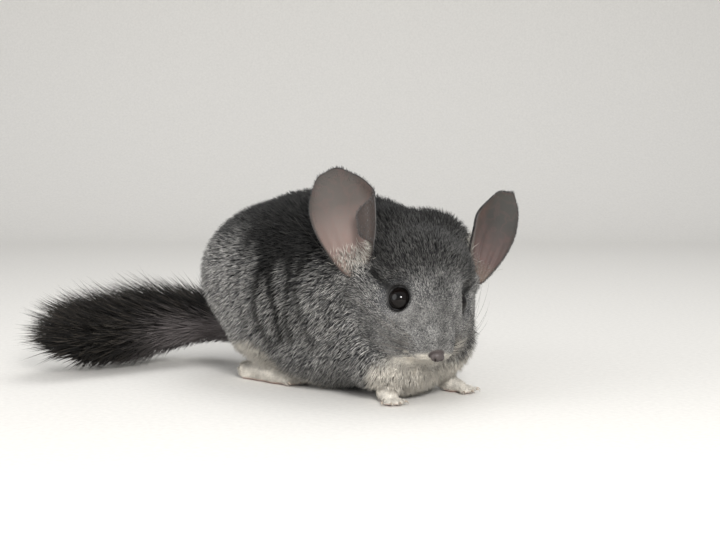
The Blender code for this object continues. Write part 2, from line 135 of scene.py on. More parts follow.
# %% [markdown]
# ## Where things are
# The head has a frame of its own, with its origin between the eyes, +X out of the nose, +Y to the
# animal's left and +Z out of the forehead. Markings and features of the face are far easier to say
# in that frame. The values repeat those that the solids were built from.

# %% The head's frame and the eyes' frames
HEAD_PLACE = Vector((73.6, -10.4, 54.4)) * MM
HEAD_TURN = math.radians(-22)
HEAD_ROLL = math.radians(-6)
HEAD_BOW = math.radians(50)
EYE_RADIUS = 6.7 * MM
EYE_PLACE = (0, 15.4, 0.6)
EYE_AXIS = (0.22, 0.76, 0.60)
SIDES = {"left": 1, "right": -1}

HEAD = (
    Matrix.Translation(HEAD_PLACE)
    @ Matrix.Rotation(HEAD_TURN, 4, "Z")
    @ Matrix.Rotation(HEAD_ROLL, 4, "X")
    @ Matrix.Rotation(HEAD_BOW, 4, "Y")
)


def eye_frame(sign):
    """+Z looks out between the lids, and +X points to the nose."""
    look = Vector((EYE_AXIS[0], EYE_AXIS[1] * sign, EYE_AXIS[2])).normalized()
    nose = (Vector((1, 0, 0)) - look * look.x).normalized()
    turn = Matrix((nose, look.cross(nose), look)).transposed().to_4x4()
    place = Vector((EYE_PLACE[0], EYE_PLACE[1] * sign, EYE_PLACE[2])) * MM
    return HEAD @ Matrix.Translation(place) @ turn


def into(matrix, points):
    """World points in a frame, in millimetres."""
    back = np.array(matrix.inverted())
    return (points @ back[:3, :3].T + back[:3, 3]) / MM


def out_of(matrix, points):
    """A frame's points in millimetres, in the world."""
    forth = np.array(matrix)
    return (points * MM) @ forth[:3, :3].T + forth[:3, 3]


EYES = {side: eye_frame(sign) for side, sign in SIDES.items()}
print("eyes at", [[round(c / MM) for c in eye.translation] for eye in EYES.values()])

# %% [markdown]
# ## The tail's path
# Under its bristles a chinchilla's tail is a thin, tapering rod of vertebrae and muscle. Its path
# is a smooth curve through a few points, which the skin and later the bristles both follow.

# %% A smooth curve along the tail
TAIL_PATH = np.array((
    (-84, 4, 24, 11),
    (-100, -1, 22, 12),
    (-116, -13, 21, 13),
    (-127, -33, 18, 14),
    (-132, -52, 15, 14),
    (-135, -70, 14, 13),
    (-135, -86, 14, 9),
), float)


def tail_at(share):
    """Centres, directions and radii of the solid core, in millimetres, at shares of its length."""
    spans = len(TAIL_PATH) - 1
    at = np.clip(share, 0, 1) * spans
    index = np.minimum(at.astype(int), spans - 1)
    t = (at - index)[:, None]
    before, start, end, after = (
        TAIL_PATH[np.clip(index + shift, 0, spans)] for shift in (-1, 0, 1, 2)
    )
    rise = (end - before) / 2
    fall = (after - start) / 2
    place = start * (2 * t**3 - 3 * t**2 + 1) + rise * (t**3 - 2 * t**2 + t)
    place = place + end * (3 * t**2 - 2 * t**3) + fall * (t**3 - t**2)
    along = start * (6 * t**2 - 6 * t) + rise * (3 * t**2 - 4 * t + 1)
    along = along + end * (6 * t - 6 * t**2) + fall * (3 * t**2 - 2 * t)
    radius = start[:, 3] * (1 - t[:, 0]) + end[:, 3] * t[:, 0]
    return place[:, :3], unit(along[:, :3]), radius


def tail_cross(along):
    """The directions up and aside across the tail."""
    up = np.array((0.0, 0.0, 1.0)) - along * along[:, 2:]
    up = unit(up)
    return up, np.cross(along, up)


# %% [markdown]
# ## One skin
# On the animal the skin is one surface from nose to tail, so the solids of head, neck, trunk, legs
# and feet are melted together here. A voxel remesh is the quickest way to do that: it closes the
# thin gaps between the solids and gives even faces, ready for sculpting. The skin then sinks by the
# depth of the coat, because the solids show the outside of the fur.

# %% Gather the flesh
FLESH = (
    "head", "neck", "torso", "hindleg_left", "hindleg_right",
    "foreleg_left", "foreleg_right", "hindfoot_left", "hindfoot_right",
)
PAWS = FLESH[5:]
TAIL_NODES = ("tail_root", "tail_middle", "tail_tip")
GAP_CLOSER = 0.35 * MM
TAIL_CORE_SHARE = 0.62


def add_ball(bm, centre, radii, place=Matrix.Identity(4)):
    whole = place @ Matrix.Translation(Vector(centre) * MM)
    whole = whole @ Matrix.Diagonal((*(Vector(radii) * MM), 1))
    bmesh.ops.create_uvsphere(bm, u_segments=32, v_segments=20, radius=1.0, matrix=whole)


def add_tail_core(bm):
    """Rings along the tail's path, closed at both ends."""
    share = np.linspace(0, 1, 28)
    place, along, radius = tail_at(share)
    up, aside = tail_cross(along)
    sides = 16
    rings = []
    for index in range(len(share)):
        taper = TAIL_CORE_SHARE * (1 - 0.45 * share[index])
        ring = []
        for side in range(sides):
            angle = 2 * math.pi * side / sides
            way = up[index] * math.cos(angle) + aside[index] * math.sin(angle)
            ring.append(bm.verts.new((place[index] + way * radius[index] * taper) * MM))
        rings.append(ring)
    for first, second in zip(rings, rings[1:]):
        for side in range(sides):
            after = (side + 1) % sides
            bm.faces.new((first[side], first[after], second[after], second[side]))
    bm.faces.new(rings[0])
    bm.faces.new(rings[-1])


def gather_flesh():
    bm = bmesh.new()
    for name in FLESH:
        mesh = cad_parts[name].data
        start = len(bm.verts)
        bm.from_mesh(mesh)
        bm.verts.ensure_lookup_table()
        bm.normal_update()
        for vertex in bm.verts[start:]:
            vertex.co += vertex.normal * GAP_CLOSER
    for eye in EYES.values():
        add_ball(bm, (0, 0, 0), (6.1, 6.1, 6.1), eye)
    for sign in SIDES.values():
        add_ball(bm, (-19, 31 * sign, -7), (8, 9, 9), HEAD)
    add_tail_core(bm)
    bmesh.ops.recalc_face_normals(bm, faces=bm.faces)
    mesh = bpy.data.meshes.new("skin")
    bm.to_mesh(mesh)
    bm.free()
    return add_object("skin", mesh)


def melt(thing, voxel, rounds):
    remesh = thing.modifiers.new("Melt", "REMESH")
    remesh.mode = "VOXEL"
    remesh.voxel_size = voxel
    remesh.use_smooth_shade = True
    smooth = thing.modifiers.new("Soften", "SMOOTH")
    smooth.factor = 0.5
    smooth.iterations = rounds
    return apply_modifiers(thing)


skin = melt(gather_flesh(), 1.5 * MM, 8)
print("melted flesh:", len(skin.data.polygons), "faces")

# %% [markdown]
# How deep the coat is differs over the body: about 5 mm on the back, 1 mm on the muzzle and next to
# nothing on the paws. The same function is used twice, first to sink the skin and later to give
# each tuft its length, so that the tips end where the solids do.

# %% Head, paws and the coat's depth
BODY_DEPTH = 4.8
FACE_DEPTH = 1.2
PAW_DEPTH = 0.7
PAW_REACH = 2.6
TAIL_DEPTH = 0.6


def tree_of(mesh):
    corners = [vertex.co for vertex in mesh.vertices]
    return BVHTree.FromPolygons(corners, [face.vertices for face in mesh.polygons])


def near_nodes(points, names, reach):
    """1 on the surface of some nodes, and 0 from a reach in millimetres away from them."""
    trees = [tree_of(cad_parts[name].data) for name in names]
    distance = np.full(len(points), reach)
    for index, point in enumerate(points):
        for tree in trees:
            found = tree.find_nearest(point, reach * MM)
            if found[0] is not None:
                distance[index] = min(distance[index], found[3] / MM)
    return 1 - soft_step(0.15 * reach, reach, distance)


def headness(points):
    """1 on the head, and 0 on the neck and body."""
    q = into(HEAD, points)
    size = np.linalg.norm((q - (-4, 0, -4)) / (41, 36, 25), axis=1)
    return 1 - soft_step(0.95, 1.25, size)


def eye_distance(points):
    return np.min([np.linalg.norm(into(eye, points), axis=1) for eye in EYES.values()], axis=0)


def on_tail(points):
    """1 on the tail's skin, and 0 on the body."""
    return soft_step(-94, -100, points[:, 0] / MM)


def coat_depth(points, paw):
    q = into(HEAD, points)
    face = headness(points) * (0.45 + 0.55 * soft_step(-26, 12, q[:, 0]))
    depth = BODY_DEPTH + (FACE_DEPTH - BODY_DEPTH) * face
    depth = depth * (0.15 + 0.85 * soft_step(8, 15, eye_distance(points)))
    depth = depth + (PAW_DEPTH - depth) * paw
    return depth + (TAIL_DEPTH - depth) * on_tail(points)


def sink_skin():
    points = read_points(skin.data)
    normals = read_points(skin.data, "normal")
    paw = near_nodes(points, PAWS, PAW_REACH)
    depth = coat_depth(points, paw) * MM
    sole = soft_step(2.0, 0.5, points[:, 2] / MM) * paw
    depth = depth * (1 - sole)
    write_points(skin.data, points - normals * depth[:, None])


sink_skin()
skin = melt(skin, 1.25 * MM, 3)
print("skin:", len(skin.data.polygons), "faces")

# %% [markdown]
# ## Muzzle, mouth and lids
# The remesh rounds off what is smaller than its voxels, so the fine folds of the face are sculpted
# afterwards: the faces round the nose and eyes are divided, and their corners pushed in along the
# mouth, the cleft of the lip and the nostrils, and drawn up into a lid round each eye.

# %% Sculpt the face
MOUTH_LINE = np.array((
    (24, -11, -13.5), (28, -8, -12.2), (30.6, -4, -10.8), (31.6, 0, -9.8),
    (30.6, 4, -10.8), (28, 8, -12.2), (24, 11, -13.5),
))
LIP_CLEFT = np.array(((34.0, 0, -3.5), (33.2, 0, -6.0), (31.6, 0, -9.8)))
NOSE_PLACE = (31.7, 0, -3.4)


def distance_to_line(points, line):
    """The distance in millimetres from points to a line of straight pieces."""
    best = np.full(len(points), 1e3)
    for start, end in zip(line[:-1], line[1:]):
        way = end - start
        share = np.clip((points - start) @ way / (way @ way), 0, 1)
        foot = start + share[:, None] * way
        best = np.minimum(best, np.linalg.norm(points - foot, axis=1))
    return best


def refine_near(thing, places, reach):
    """Divides the faces within a reach of some places."""
    bm = bmesh.new()
    bm.from_mesh(thing.data)
    edges = set()
    for face in bm.faces:
        middle = face.calc_center_median()
        if any((middle - place).length < reach for place in places):
            edges.update(face.edges)
    bmesh.ops.subdivide_edges(bm, edges=list(edges), cuts=1, use_grid_fill=True, smooth=0.3)
    bm.to_mesh(thing.data)
    bm.free()


def dish_height(reach):
    """How high the skin may stand round an eye: under the ball, then rising as a shallow dish."""
    under = np.sqrt(np.maximum(6.1 ** 2 - reach ** 2, 0))
    return np.where(reach < 5.6, under, 2.42 + 0.75 * (reach - 5.6))


def sculpt_face():
    points = read_points(skin.data)
    normals = read_points(skin.data, "normal")
    q = into(HEAD, points)
    front = q[:, 0] > 15
    mouth = 1.5 * np.exp(-(distance_to_line(q, MOUTH_LINE) / 0.9) ** 2)
    lip = 0.7 * np.exp(-((distance_to_line(q, MOUTH_LINE) - 2.6) / 1.3) ** 2)
    cleft = 1.1 * np.exp(-(distance_to_line(q, LIP_CLEFT) / 0.7) ** 2)
    push = (lip - mouth - cleft) * front
    points = points + normals * (push * MM)[:, None]
    points[:, 2] = np.maximum(points[:, 2], 0.0)
    for eye in EYES.values():
        near = into(eye, points)
        reach = np.linalg.norm(near[:, :2], axis=1)
        high = np.minimum(near[:, 2], dish_height(reach))
        around = (reach < 11) & (near[:, 2] > 0)
        points[around] = out_of(eye, np.column_stack((near[:, :2], high)))[around]
    write_points(skin.data, points)


MUZZLE = Vector(out_of(HEAD, np.array((29.0, 0, -8.0))))
for reach in (15 * MM, 12 * MM):
    refine_near(skin, [MUZZLE], reach)
refine_near(skin, [eye.translation for eye in EYES.values()], 12 * MM)
sculpt_face()
print("skin with the fine folds:", len(skin.data.polygons), "faces")

# %% [markdown]
# Each lid is a ridge that lies on the eyeball and runs out into the face. The opening is nearly
# round and a little wider than high, drawn out at both corners. The ridges are made as rings and
# joined to the skin, with their outer edges under it.

# %% The lids
LID_POINTS = 64
LID_ROWS = ((-1.0, -0.5), (-0.1, 0.05), (0.1, 0.25), (0.4, 0.35), (0.8, 0.28), (1.4, 0.08))
LID_TUCK = 1.6


def lid_opening(angle):
    """The opening's half width at an angle from the nose, in millimetres."""
    wide = 6.4 + 0.6 * np.abs(np.cos(angle)) ** 6
    tall = np.full_like(angle, 6.1)
    return np.stack((wide * np.cos(angle), tall * np.sin(angle)), axis=1)


def lid_ring(side):
    """Points of one lid's ridge from the eyeball outwards, as rows round the opening."""
    angle = np.linspace(0, 2 * math.pi, LID_POINTS, endpoint=False)
    opening = lid_opening(angle)
    away = unit(opening)
    eye = EYES[side]
    ball = EYE_RADIUS / MM
    rows = []
    for step, lift in LID_ROWS:
        flat = opening + away * step
        reach = np.linalg.norm(flat, axis=1)
        on_ball = np.sqrt(np.maximum(ball ** 2 - reach ** 2, 0))
        height = np.maximum(on_ball, dish_height(reach)) + lift
        rows.append(np.column_stack((flat, height)))
    tree = tree_of(skin.data)
    outer = []
    for point, way in zip(rows[-1], away):
        edge = point[:2] + way * LID_TUCK
        world = out_of(eye, np.array((*edge, 14.0)))
        look = -(eye.to_3x3() @ Vector((0, 0, 1)))
        found = tree.ray_cast(Vector(world), look)
        depth = 1.0 if found[0] is None else into(eye, np.array(found[0]))[2]
        outer.append((*edge, depth - 0.5))
    rows.append(np.array(outer))
    return out_of(eye, np.array(rows).reshape(-1, 3)), len(rows)


def ring_faces(rows, around):
    faces = []
    for row in range(rows - 1):
        for step in range(around):
            after = (step + 1) % around
            low = row * around
            high = low + around
            faces.append((low + step, high + step, high + after, low + after))
    return np.array(faces)


lids = []
for side in SIDES:
    points, rows = lid_ring(side)
    faces = ring_faces(rows, LID_POINTS)
    lids.append(mesh_object("lid_" + side, points, faces))
print("lids:", sum(len(lid.data.polygons) for lid in lids), "faces")

# %% Join the lids to the skin and unwrap it
def join(target, others):
    bpy.ops.object.select_all(action="DESELECT")
    for thing in (*others, target):
        thing.select_set(True)
    bpy.context.view_layer.objects.active = target
    bpy.ops.object.join()


def unwrap(thing):
    """Flattens a piece's own faces into the map named OFBake."""
    bpy.ops.object.select_all(action="DESELECT")
    thing.select_set(True)
    bpy.context.view_layer.objects.active = thing
    bpy.ops.object.mode_set(mode="EDIT")
    bpy.ops.mesh.select_all(action="SELECT")
    bpy.ops.uv.smart_project(angle_limit=math.radians(66), island_margin=0.003)
    bpy.ops.object.mode_set(mode="OBJECT")
    thing.data.uv_layers.active.name = "OFBake"


BARE_FACES = len(skin.data.polygons)
join(skin, lids)
unwrap(skin)
skin.data.shade_smooth()
print("skin with its lids:", len(skin.data.polygons), "faces")

# %% [markdown]
# ## Markings
# A standard grey chinchilla is slate blue at the roots of its fur and silver near the tips, darker
# along the back and white below. The markings are worked out from the shape of the body, once, and
# both the skin and every tuft that grows on it take them from the same function.

# %% Markings of the coat
WHITE_EDGE = (
    (-90, 20), (-40, 27), (-24, 27), (-14, 15), (-2, 10.5), (8, 6), (20, 4), (40, 6), (50, 12),
)
BREAKS = ((-13, 0.9), (-3.5, 1.0), (7, 0.85), (17, 0.6), (-28, 0.35))
EYE_LINE = np.array(((-4.5, 21, 2.3), (-9.0, 24, 2.0), (-14.0, 27.5, 1.9)))


def markings(points, normals, paw):
    """How white and how bright the coat is: white from 0 to 1, and brightness about 1."""
    x, y, z = (points / MM).T
    q = into(HEAD, points)
    head = headness(points)
    wave = 1.6 * np.sin(x / 5.0 + 1.0) + 1.2 * np.sin(y / 3.7)
    edge = np.interp(x, *zip(*WHITE_EDGE))
    throat = soft_step(44, 58, x)
    edge = edge + (20 + 6 * ((y + 4) / 32) ** 2 - edge) * throat + wave
    white = soft_step(edge + 2.5, edge - 2.5, z)
    down = soft_step(-0.35, -0.7, normals[:, 2])
    jaw = np.maximum(down * soft_step(36, 30, z), soft_step(28, 24, z))
    white = np.maximum(white, jaw * head)
    white = np.maximum(white, 0.8 * paw)
    white = white * (1 - on_tail(points))

    bright = 1.0 - 0.90 * soft_step(58, 96, z)
    ragged = 2.5 * np.sin(z / 3.1) + 2.0 * np.sin(z / 1.7 + y / 4.0)
    haunch = soft_step(-12, -38, x + ragged) * soft_step(96, 74, z)
    bright = bright + 0.34 * haunch
    # Painted shade: a darker patch across the top of the back behind the ears, where their shadow falls.
    shade_behind_ears = hump(x + ragged, 2, 24) * hump(z, 84, 26)
    bright = bright - 0.5 * shade_behind_ears
    # Dark streaks down the flanks where the coat breaks: partly the dark roots that show there, partly
    # painted shade in the grooves.
    flank = soft_step(30, 40, np.abs(y)) * soft_step(22, 34, z) * soft_step(104, 84, z)
    for place, strength in BREAKS:
        line = place + 2.2 * np.sin(z / 9.0 + place) + 0.04 * (z - 60)
        bright = bright - 0.85 * strength * flank * hump(x, line, 2.4)
    bright = np.maximum(bright, 0.07)

    crown = soft_step(8, -14, q[:, 0]) * soft_step(-4, 10, q[:, 2])
    face = 1.02 - 0.78 * crown
    ridge = hump(q[:, 1], 1.0, 4.5) * soft_step(-6, 4, q[:, 0]) * soft_step(-5, 3, q[:, 2])
    face = face - 0.42 * ridge * (1 - 0.5 * crown)
    face = face + 0.14 * hump(q[:, 0], 24, 7) * hump(np.abs(q[:, 1]), 9, 6)
    # Painted shade: the sides of the cheeks are painted darker, where they turn under towards the white
    # throat.
    face = face - 0.22 * hump(q[:, 0], 8, 9) * hump(np.abs(q[:, 1]), 27, 6)
    face = face + 0.2 * hump(eye_distance(points), 12, 3.5)
    corner = np.minimum(
        distance_to_line(q * (1, -1, 1), EYE_LINE), distance_to_line(q, EYE_LINE)
    )
    face = face - 0.85 * np.exp(-(corner / 2.6) ** 2)
    bright = bright + (face - bright) * head
    # Painted light: the white is painted brighter on the throat than on the paws, to lift the shade under
    # the chin.
    bright = bright + (0.88 + 0.2 * throat * (1 - paw) - bright) * white
    return white, np.clip(bright, 0.07, 1.5)


def skin_marks():
    points = read_points(skin.data)
    normals = read_points(skin.data, "normal")
    paw = near_nodes(points, PAWS, PAW_REACH)
    white, bright = markings(points, normals, paw)
    short = np.maximum(headness(points) * soft_step(-10, 20, into(HEAD, points)[:, 0]), paw)
    along = 0.12 + 0.45 * short
    tone = draw.uniform(0.3, 0.7, len(points))
    paint_points(skin.data, "coat", np.column_stack((along, tone, white, bright)))

    q = into(HEAD, points)
    nose = np.linalg.norm((q - NOSE_PLACE) / (4.5, 4.6, 4.2), axis=1)
    bare = soft_step(1.2, 0.9, nose)
    lid = [np.linalg.norm(into(eye, points)[:, :2] * (0.88, 1), axis=1) for eye in EYES.values()]
    lid = np.min(lid, axis=0)
    rim = soft_step(8.0, 7.1, lid) * soft_step(10, 8, eye_distance(points))
    sole = paw * soft_step(1.5, 0.3, points[:, 2] / MM)
    tail = on_tail(points)
    paint_points(skin.data, "bare", np.column_stack((bare, rim, sole, tail)))


skin_marks()

# %% [markdown]
# ## Growing the coat
# A hair is far too thin to model one by one, as a chinchilla grows sixty from each follicle. What
# the eye sees is tufts. Each one here is a thin closed blade with three sides, which leaves the skin
# steeply, bends over along the lie of the coat and ends in a point.
#
# Particle hair would be quicker to set up, but it is lost when a model is exported. Blades made in
# one array operation stay real geometry.

# %% Tufts from arrays
PATCH = 0.003


def tuft_object(name, root, normal, lie, length, width, lean, clump, marks, uv, rings):
    """Closed blades in one mesh. lean holds each blade's angles from the normal at root and tip in
    radians, clump how far its tip is drawn sideways in metres, and marks four values per blade."""
    count = len(root)
    aside = unit(np.cross(normal, lie))
    steps = rings + 1
    centre = root - normal * (0.6 * MM)
    points = np.empty((count, rings * 3 + 1, 3))
    along = np.empty((count, rings * 3 + 1))
    patch = np.empty((count, rings * 3 + 1, 2))
    walked = 0.0
    for ring in range(steps):
        share = ring / rings
        angle = (lean[:, 0] + (lean[:, 1] - lean[:, 0]) * share)[:, None]
        way = normal * np.cos(angle) + lie * np.sin(angle)
        face = lie * np.cos(angle) - normal * np.sin(angle)
        pulled = centre + clump * share ** 2
        if ring == rings:
            points[:, -1] = pulled
            along[:, -1] = 1.0
            patch[:, -1] = (0.5, 1.0)
            break
        fullness = (0.55 + 1.2 * share * (1 - share) + 0.1) * (1 - 0.35 * share)
        for corner in range(3):
            turn = 2 * math.pi * corner / 3
            spread = aside * math.cos(turn) * width[:, None]
            spread = spread + face * math.sin(turn) * width[:, None] * 0.45
            points[:, ring * 3 + corner] = pulled + spread * fullness
            along[:, ring * 3 + corner] = share
            patch[:, ring * 3 + corner] = (corner / 2, share)
        centre = centre + way * (length[:, None] / rings)
    points[:, :, 2] = np.maximum(points[:, :, 2], 0.15 * MM)

    pattern = [(0, 2, 1)]
    for ring in range(rings - 1):
        for corner in range(3):
            after = (corner + 1) % 3
            low = ring * 3
            high = low + 3
            pattern.append((low + corner, low + after, high + after))
            pattern.append((low + corner, high + after, high + corner))
    last = (rings - 1) * 3
    for corner in range(3):
        pattern.append((last + corner, last + (corner + 1) % 3, rings * 3))
    pattern = np.array(pattern)
    corners = rings * 3 + 1
    faces = (pattern[None] + (np.arange(count) * corners)[:, None, None]).reshape(-1, 3)
    thing = mesh_object(name, points.reshape(-1, 3), faces)

    colour = np.empty((count, corners, 4))
    colour[:, :, 0] = along
    colour[:, :, 1:] = marks[:, None, :]
    paint_points(thing.data, "coat", colour.reshape(-1, 4))
    place = (uv[:, None, :] + (patch - 0.5) * PATCH).reshape(-1, 2)
    layer = thing.data.uv_layers.new(name="OFBake")
    layer.data.foreach_set("uv", place[faces.ravel()].astype(np.float32).ravel())
    return thing


# %% Roots spread evenly over a surface
def surface_of(thing, faces_to=None):
    """Triangles of a piece: their corners, corner normals, unwrapped corners and areas."""
    mesh = thing.data
    mesh.calc_loop_triangles()
    count = len(mesh.loop_triangles)
    corner = np.empty(count * 3, np.int32)
    loop = np.empty(count * 3, np.int32)
    owner = np.empty(count, np.int32)
    mesh.loop_triangles.foreach_get("vertices", corner)
    mesh.loop_triangles.foreach_get("loops", loop)
    mesh.loop_triangles.foreach_get("polygon_index", owner)
    uv = np.empty(len(mesh.loops) * 2, np.float32)
    mesh.uv_layers["OFBake"].data.foreach_get("uv", uv)
    keep = owner < (len(mesh.polygons) if faces_to is None else faces_to)
    corner = corner.reshape(-1, 3)[keep]
    loop = loop.reshape(-1, 3)[keep]
    places = read_points(mesh)[corner]
    normals = read_points(mesh, "normal")[corner]
    cross = np.cross(places[:, 1] - places[:, 0], places[:, 2] - places[:, 0])
    area = np.linalg.norm(cross, axis=1) / 2
    return places, normals, uv.reshape(-1, 2)[loop], area


def scatter(surface, count, density):
    """Roots, normals and unwrapped places, spread by area and by how dense the coat is."""
    places, normals, uv, area = surface
    weight = area * density
    total = np.cumsum(weight)
    ticks = (np.arange(count) + draw.random(count)) / count * total[-1]
    chosen = np.searchsorted(total, ticks)
    chosen = np.minimum(chosen, len(area) - 1)
    a = np.sqrt(draw.random(count))
    b = draw.random(count)
    share = np.stack((1 - a, a * (1 - b), a * b), axis=1)[:, :, None]
    root = (places[chosen] * share).sum(axis=1)
    normal = unit((normals[chosen] * share).sum(axis=1))
    return root, normal, (uv[chosen] * share).sum(axis=1)


# %% [markdown]
# ## The lie of the coat
# Fur has a lie, a direction that it is smoothed in. It starts at the nose, parts round the eyes,
# runs back over the cheeks and crown, and then back and down over the body. The field below says
# which way for any point, and the coat is combed by it.

# %% The lie of the coat
def lie_of_coat(points, normals, paw):
    x, y, z = (points / MM).T
    side = np.abs(normals[:, 1])
    back = np.column_stack((
        -1 + 0.45 * side,
        0 * x,
        -0.75 * side - 0.9 * soft_step(-50, -85, x) - 0.5 * soft_step(40, 60, x),
    ))
    q = into(HEAD, points)
    head = headness(points)[:, None]
    local = np.column_stack((
        -np.ones(len(x)),
        0.25 * np.sign(q[:, 1]) * soft_step(0, 6, np.abs(q[:, 1])),
        -0.45 * soft_step(6, -10, q[:, 2]),
    ))
    turn = np.array(HEAD)[:3, :3]
    field = unit(back) * (1 - head) + unit(local @ turn.T) * head
    for eye in EYES.values():
        from_eye = points - np.array(eye.translation)
        reach = np.linalg.norm(from_eye, axis=1) / MM
        pull = 1.6 * np.exp(-((reach - 7) / 4) ** 2)
        field = field + unit(from_eye) * pull[:, None]
    toes = np.column_stack((np.ones(len(x)), 0 * x, -0.3 * np.ones(len(x))))
    field = field * (1 - paw[:, None]) + toes * paw[:, None]
    field = field + draw.normal(0, 0.22, field.shape)
    field = field - normals * (field * normals).sum(axis=1, keepdims=True)
    return unit(field)


# %% Grow the coat of the body and head
COAT_TUFTS = 118000
CLUMPS = 9000
PIECE_LIMIT = 19500


def nearest_of(places, root):
    """For each root, the nearest of some places."""
    tree = KDTree(len(places))
    for index, place in enumerate(places):
        tree.insert(place, index)
    tree.balance()
    return np.array([tree.find(place)[0] for place in root])


def clump_pull(root, reach, strength):
    """How far each tip is drawn towards the middle of its clump."""
    chosen = draw.choice(len(root), min(CLUMPS, len(root) // 4), replace=False)
    pull = (nearest_of(root[chosen], root) - root) * strength
    size = np.linalg.norm(pull, axis=1, keepdims=True)
    return pull * np.minimum(1, reach[:, None] / np.maximum(size, 1e-9))


def coat_regions(root, normal, paw):
    """Each root's part of the body, by name."""
    x, y, z = (root / MM).T
    head = headness(root) > 0.5
    q = into(HEAD, root)
    region = np.where(y > 0, "flank_left", "flank_right").astype("U16")
    region[x > 36] = "neck"
    region[(x < -58) & (z < 90)] = "rump"
    region[z > 88] = "back"
    region[normal[:, 2] < -0.6] = "belly"
    region[head] = "crown"
    region[head & (q[:, 0] > -4)] = "face"
    region[paw > 0.5] = "feet"
    return region


def grow_coat():
    surface = surface_of(skin, BARE_FACES)
    middle = surface[0].mean(axis=1)
    head = headness(middle)
    q = into(HEAD, middle)
    face = head * soft_step(-24, 4, q[:, 0])
    paw_middle = near_nodes(middle, PAWS, PAW_REACH)
    density = 1 + 0.5 * head + 2.6 * face + 2.0 * paw_middle
    density = density * (1 - on_tail(middle) * 0.9)
    density = density * np.where(middle[:, 2] < 1.2 * MM, 0.35, 1.0)
    root, normal, uv = scatter(surface, COAT_TUFTS, density)

    q = into(HEAD, root)
    nose = np.linalg.norm((q - NOSE_PLACE) / (4.2, 4.4, 4.0), axis=1) < 1
    mouth = (distance_to_line(q, MOUTH_LINE) < 0.5) & (q[:, 0] > 20)
    lid = np.min([
        np.where(into(eye, root)[:, 2] > -1, np.linalg.norm(into(eye, root)[:, :2], axis=1), 99)
        for eye in EYES.values()
    ], axis=0) < 6.5
    sole = root[:, 2] < 0.3 * MM
    keep = ~(nose | mouth | lid | sole)
    root, normal, uv = root[keep], normal[keep], uv[keep]

    paw = near_nodes(root, PAWS, PAW_REACH)
    lie = lie_of_coat(root, normal, paw)
    depth = coat_depth(root, paw)
    count = len(root)
    length = (np.maximum(depth, 0.8) * 1.42 + 0.35) * draw.uniform(0.8, 1.2, count) * MM
    width = (0.13 + 0.043 * depth) * draw.uniform(0.75, 1.3, count) * MM
    lean = np.column_stack((
        np.radians(draw.normal(26, 8, count) + 12 * headness(root)),
        np.radians(draw.normal(64, 8, count)),
    ))
    clump = clump_pull(root, depth * 0.22 * MM, 0.45)
    white, bright = markings(root, normal, paw)
    tone = draw.random(count)
    marks = np.column_stack((tone, white, bright))
    region = coat_regions(root, normal, paw)
    pieces = []
    for name in np.unique(region):
        members = np.flatnonzero(region == name)
        parts = math.ceil(len(members) / PIECE_LIMIT)
        for part in range(parts):
            chosen = members[part::parts]
            label = f"coat_{name}_{part + 1}" if parts > 1 else f"coat_{name}"
            pieces.append(tuft_object(
                label, root[chosen], normal[chosen], lie[chosen], length[chosen], width[chosen],
                lean[chosen], clump[chosen], marks[chosen], uv[chosen], 2,
            ))
    return pieces


coat = grow_coat()
for piece in coat:
    print(piece.name, len(piece.data.polygons))

# %% [markdown]
# ## The tail's bristles
# A chinchilla's tail carries stiff bristles several centimetres long on its upper side and tip, and
# short woolly hair below. The bristles lean back along the tail and stick together in locks, so
# their tips are drawn to a few hundred points instead of being spread at random.

# %% Grow the tail
BRISTLES = 13000
TAIL_WOOL = 5000
TAIL_LOCKS = 420


def tail_roots(share, around):
    place, along, radius = tail_at(share)
    up, aside = tail_cross(along)
    out = up * np.cos(around)[:, None] + aside * np.sin(around)[:, None]
    taper = TAIL_CORE_SHARE * (1 - 0.45 * share)
    root = (place + out * (radius * taper * 0.96)[:, None]) * MM
    return root, out, along


def tail_uv(share, around):
    """The tail unrolled: its length one way and its girth the other."""
    return np.column_stack((0.03 + 0.94 * share, 0.5 + around / (2 * math.pi) * 0.94))


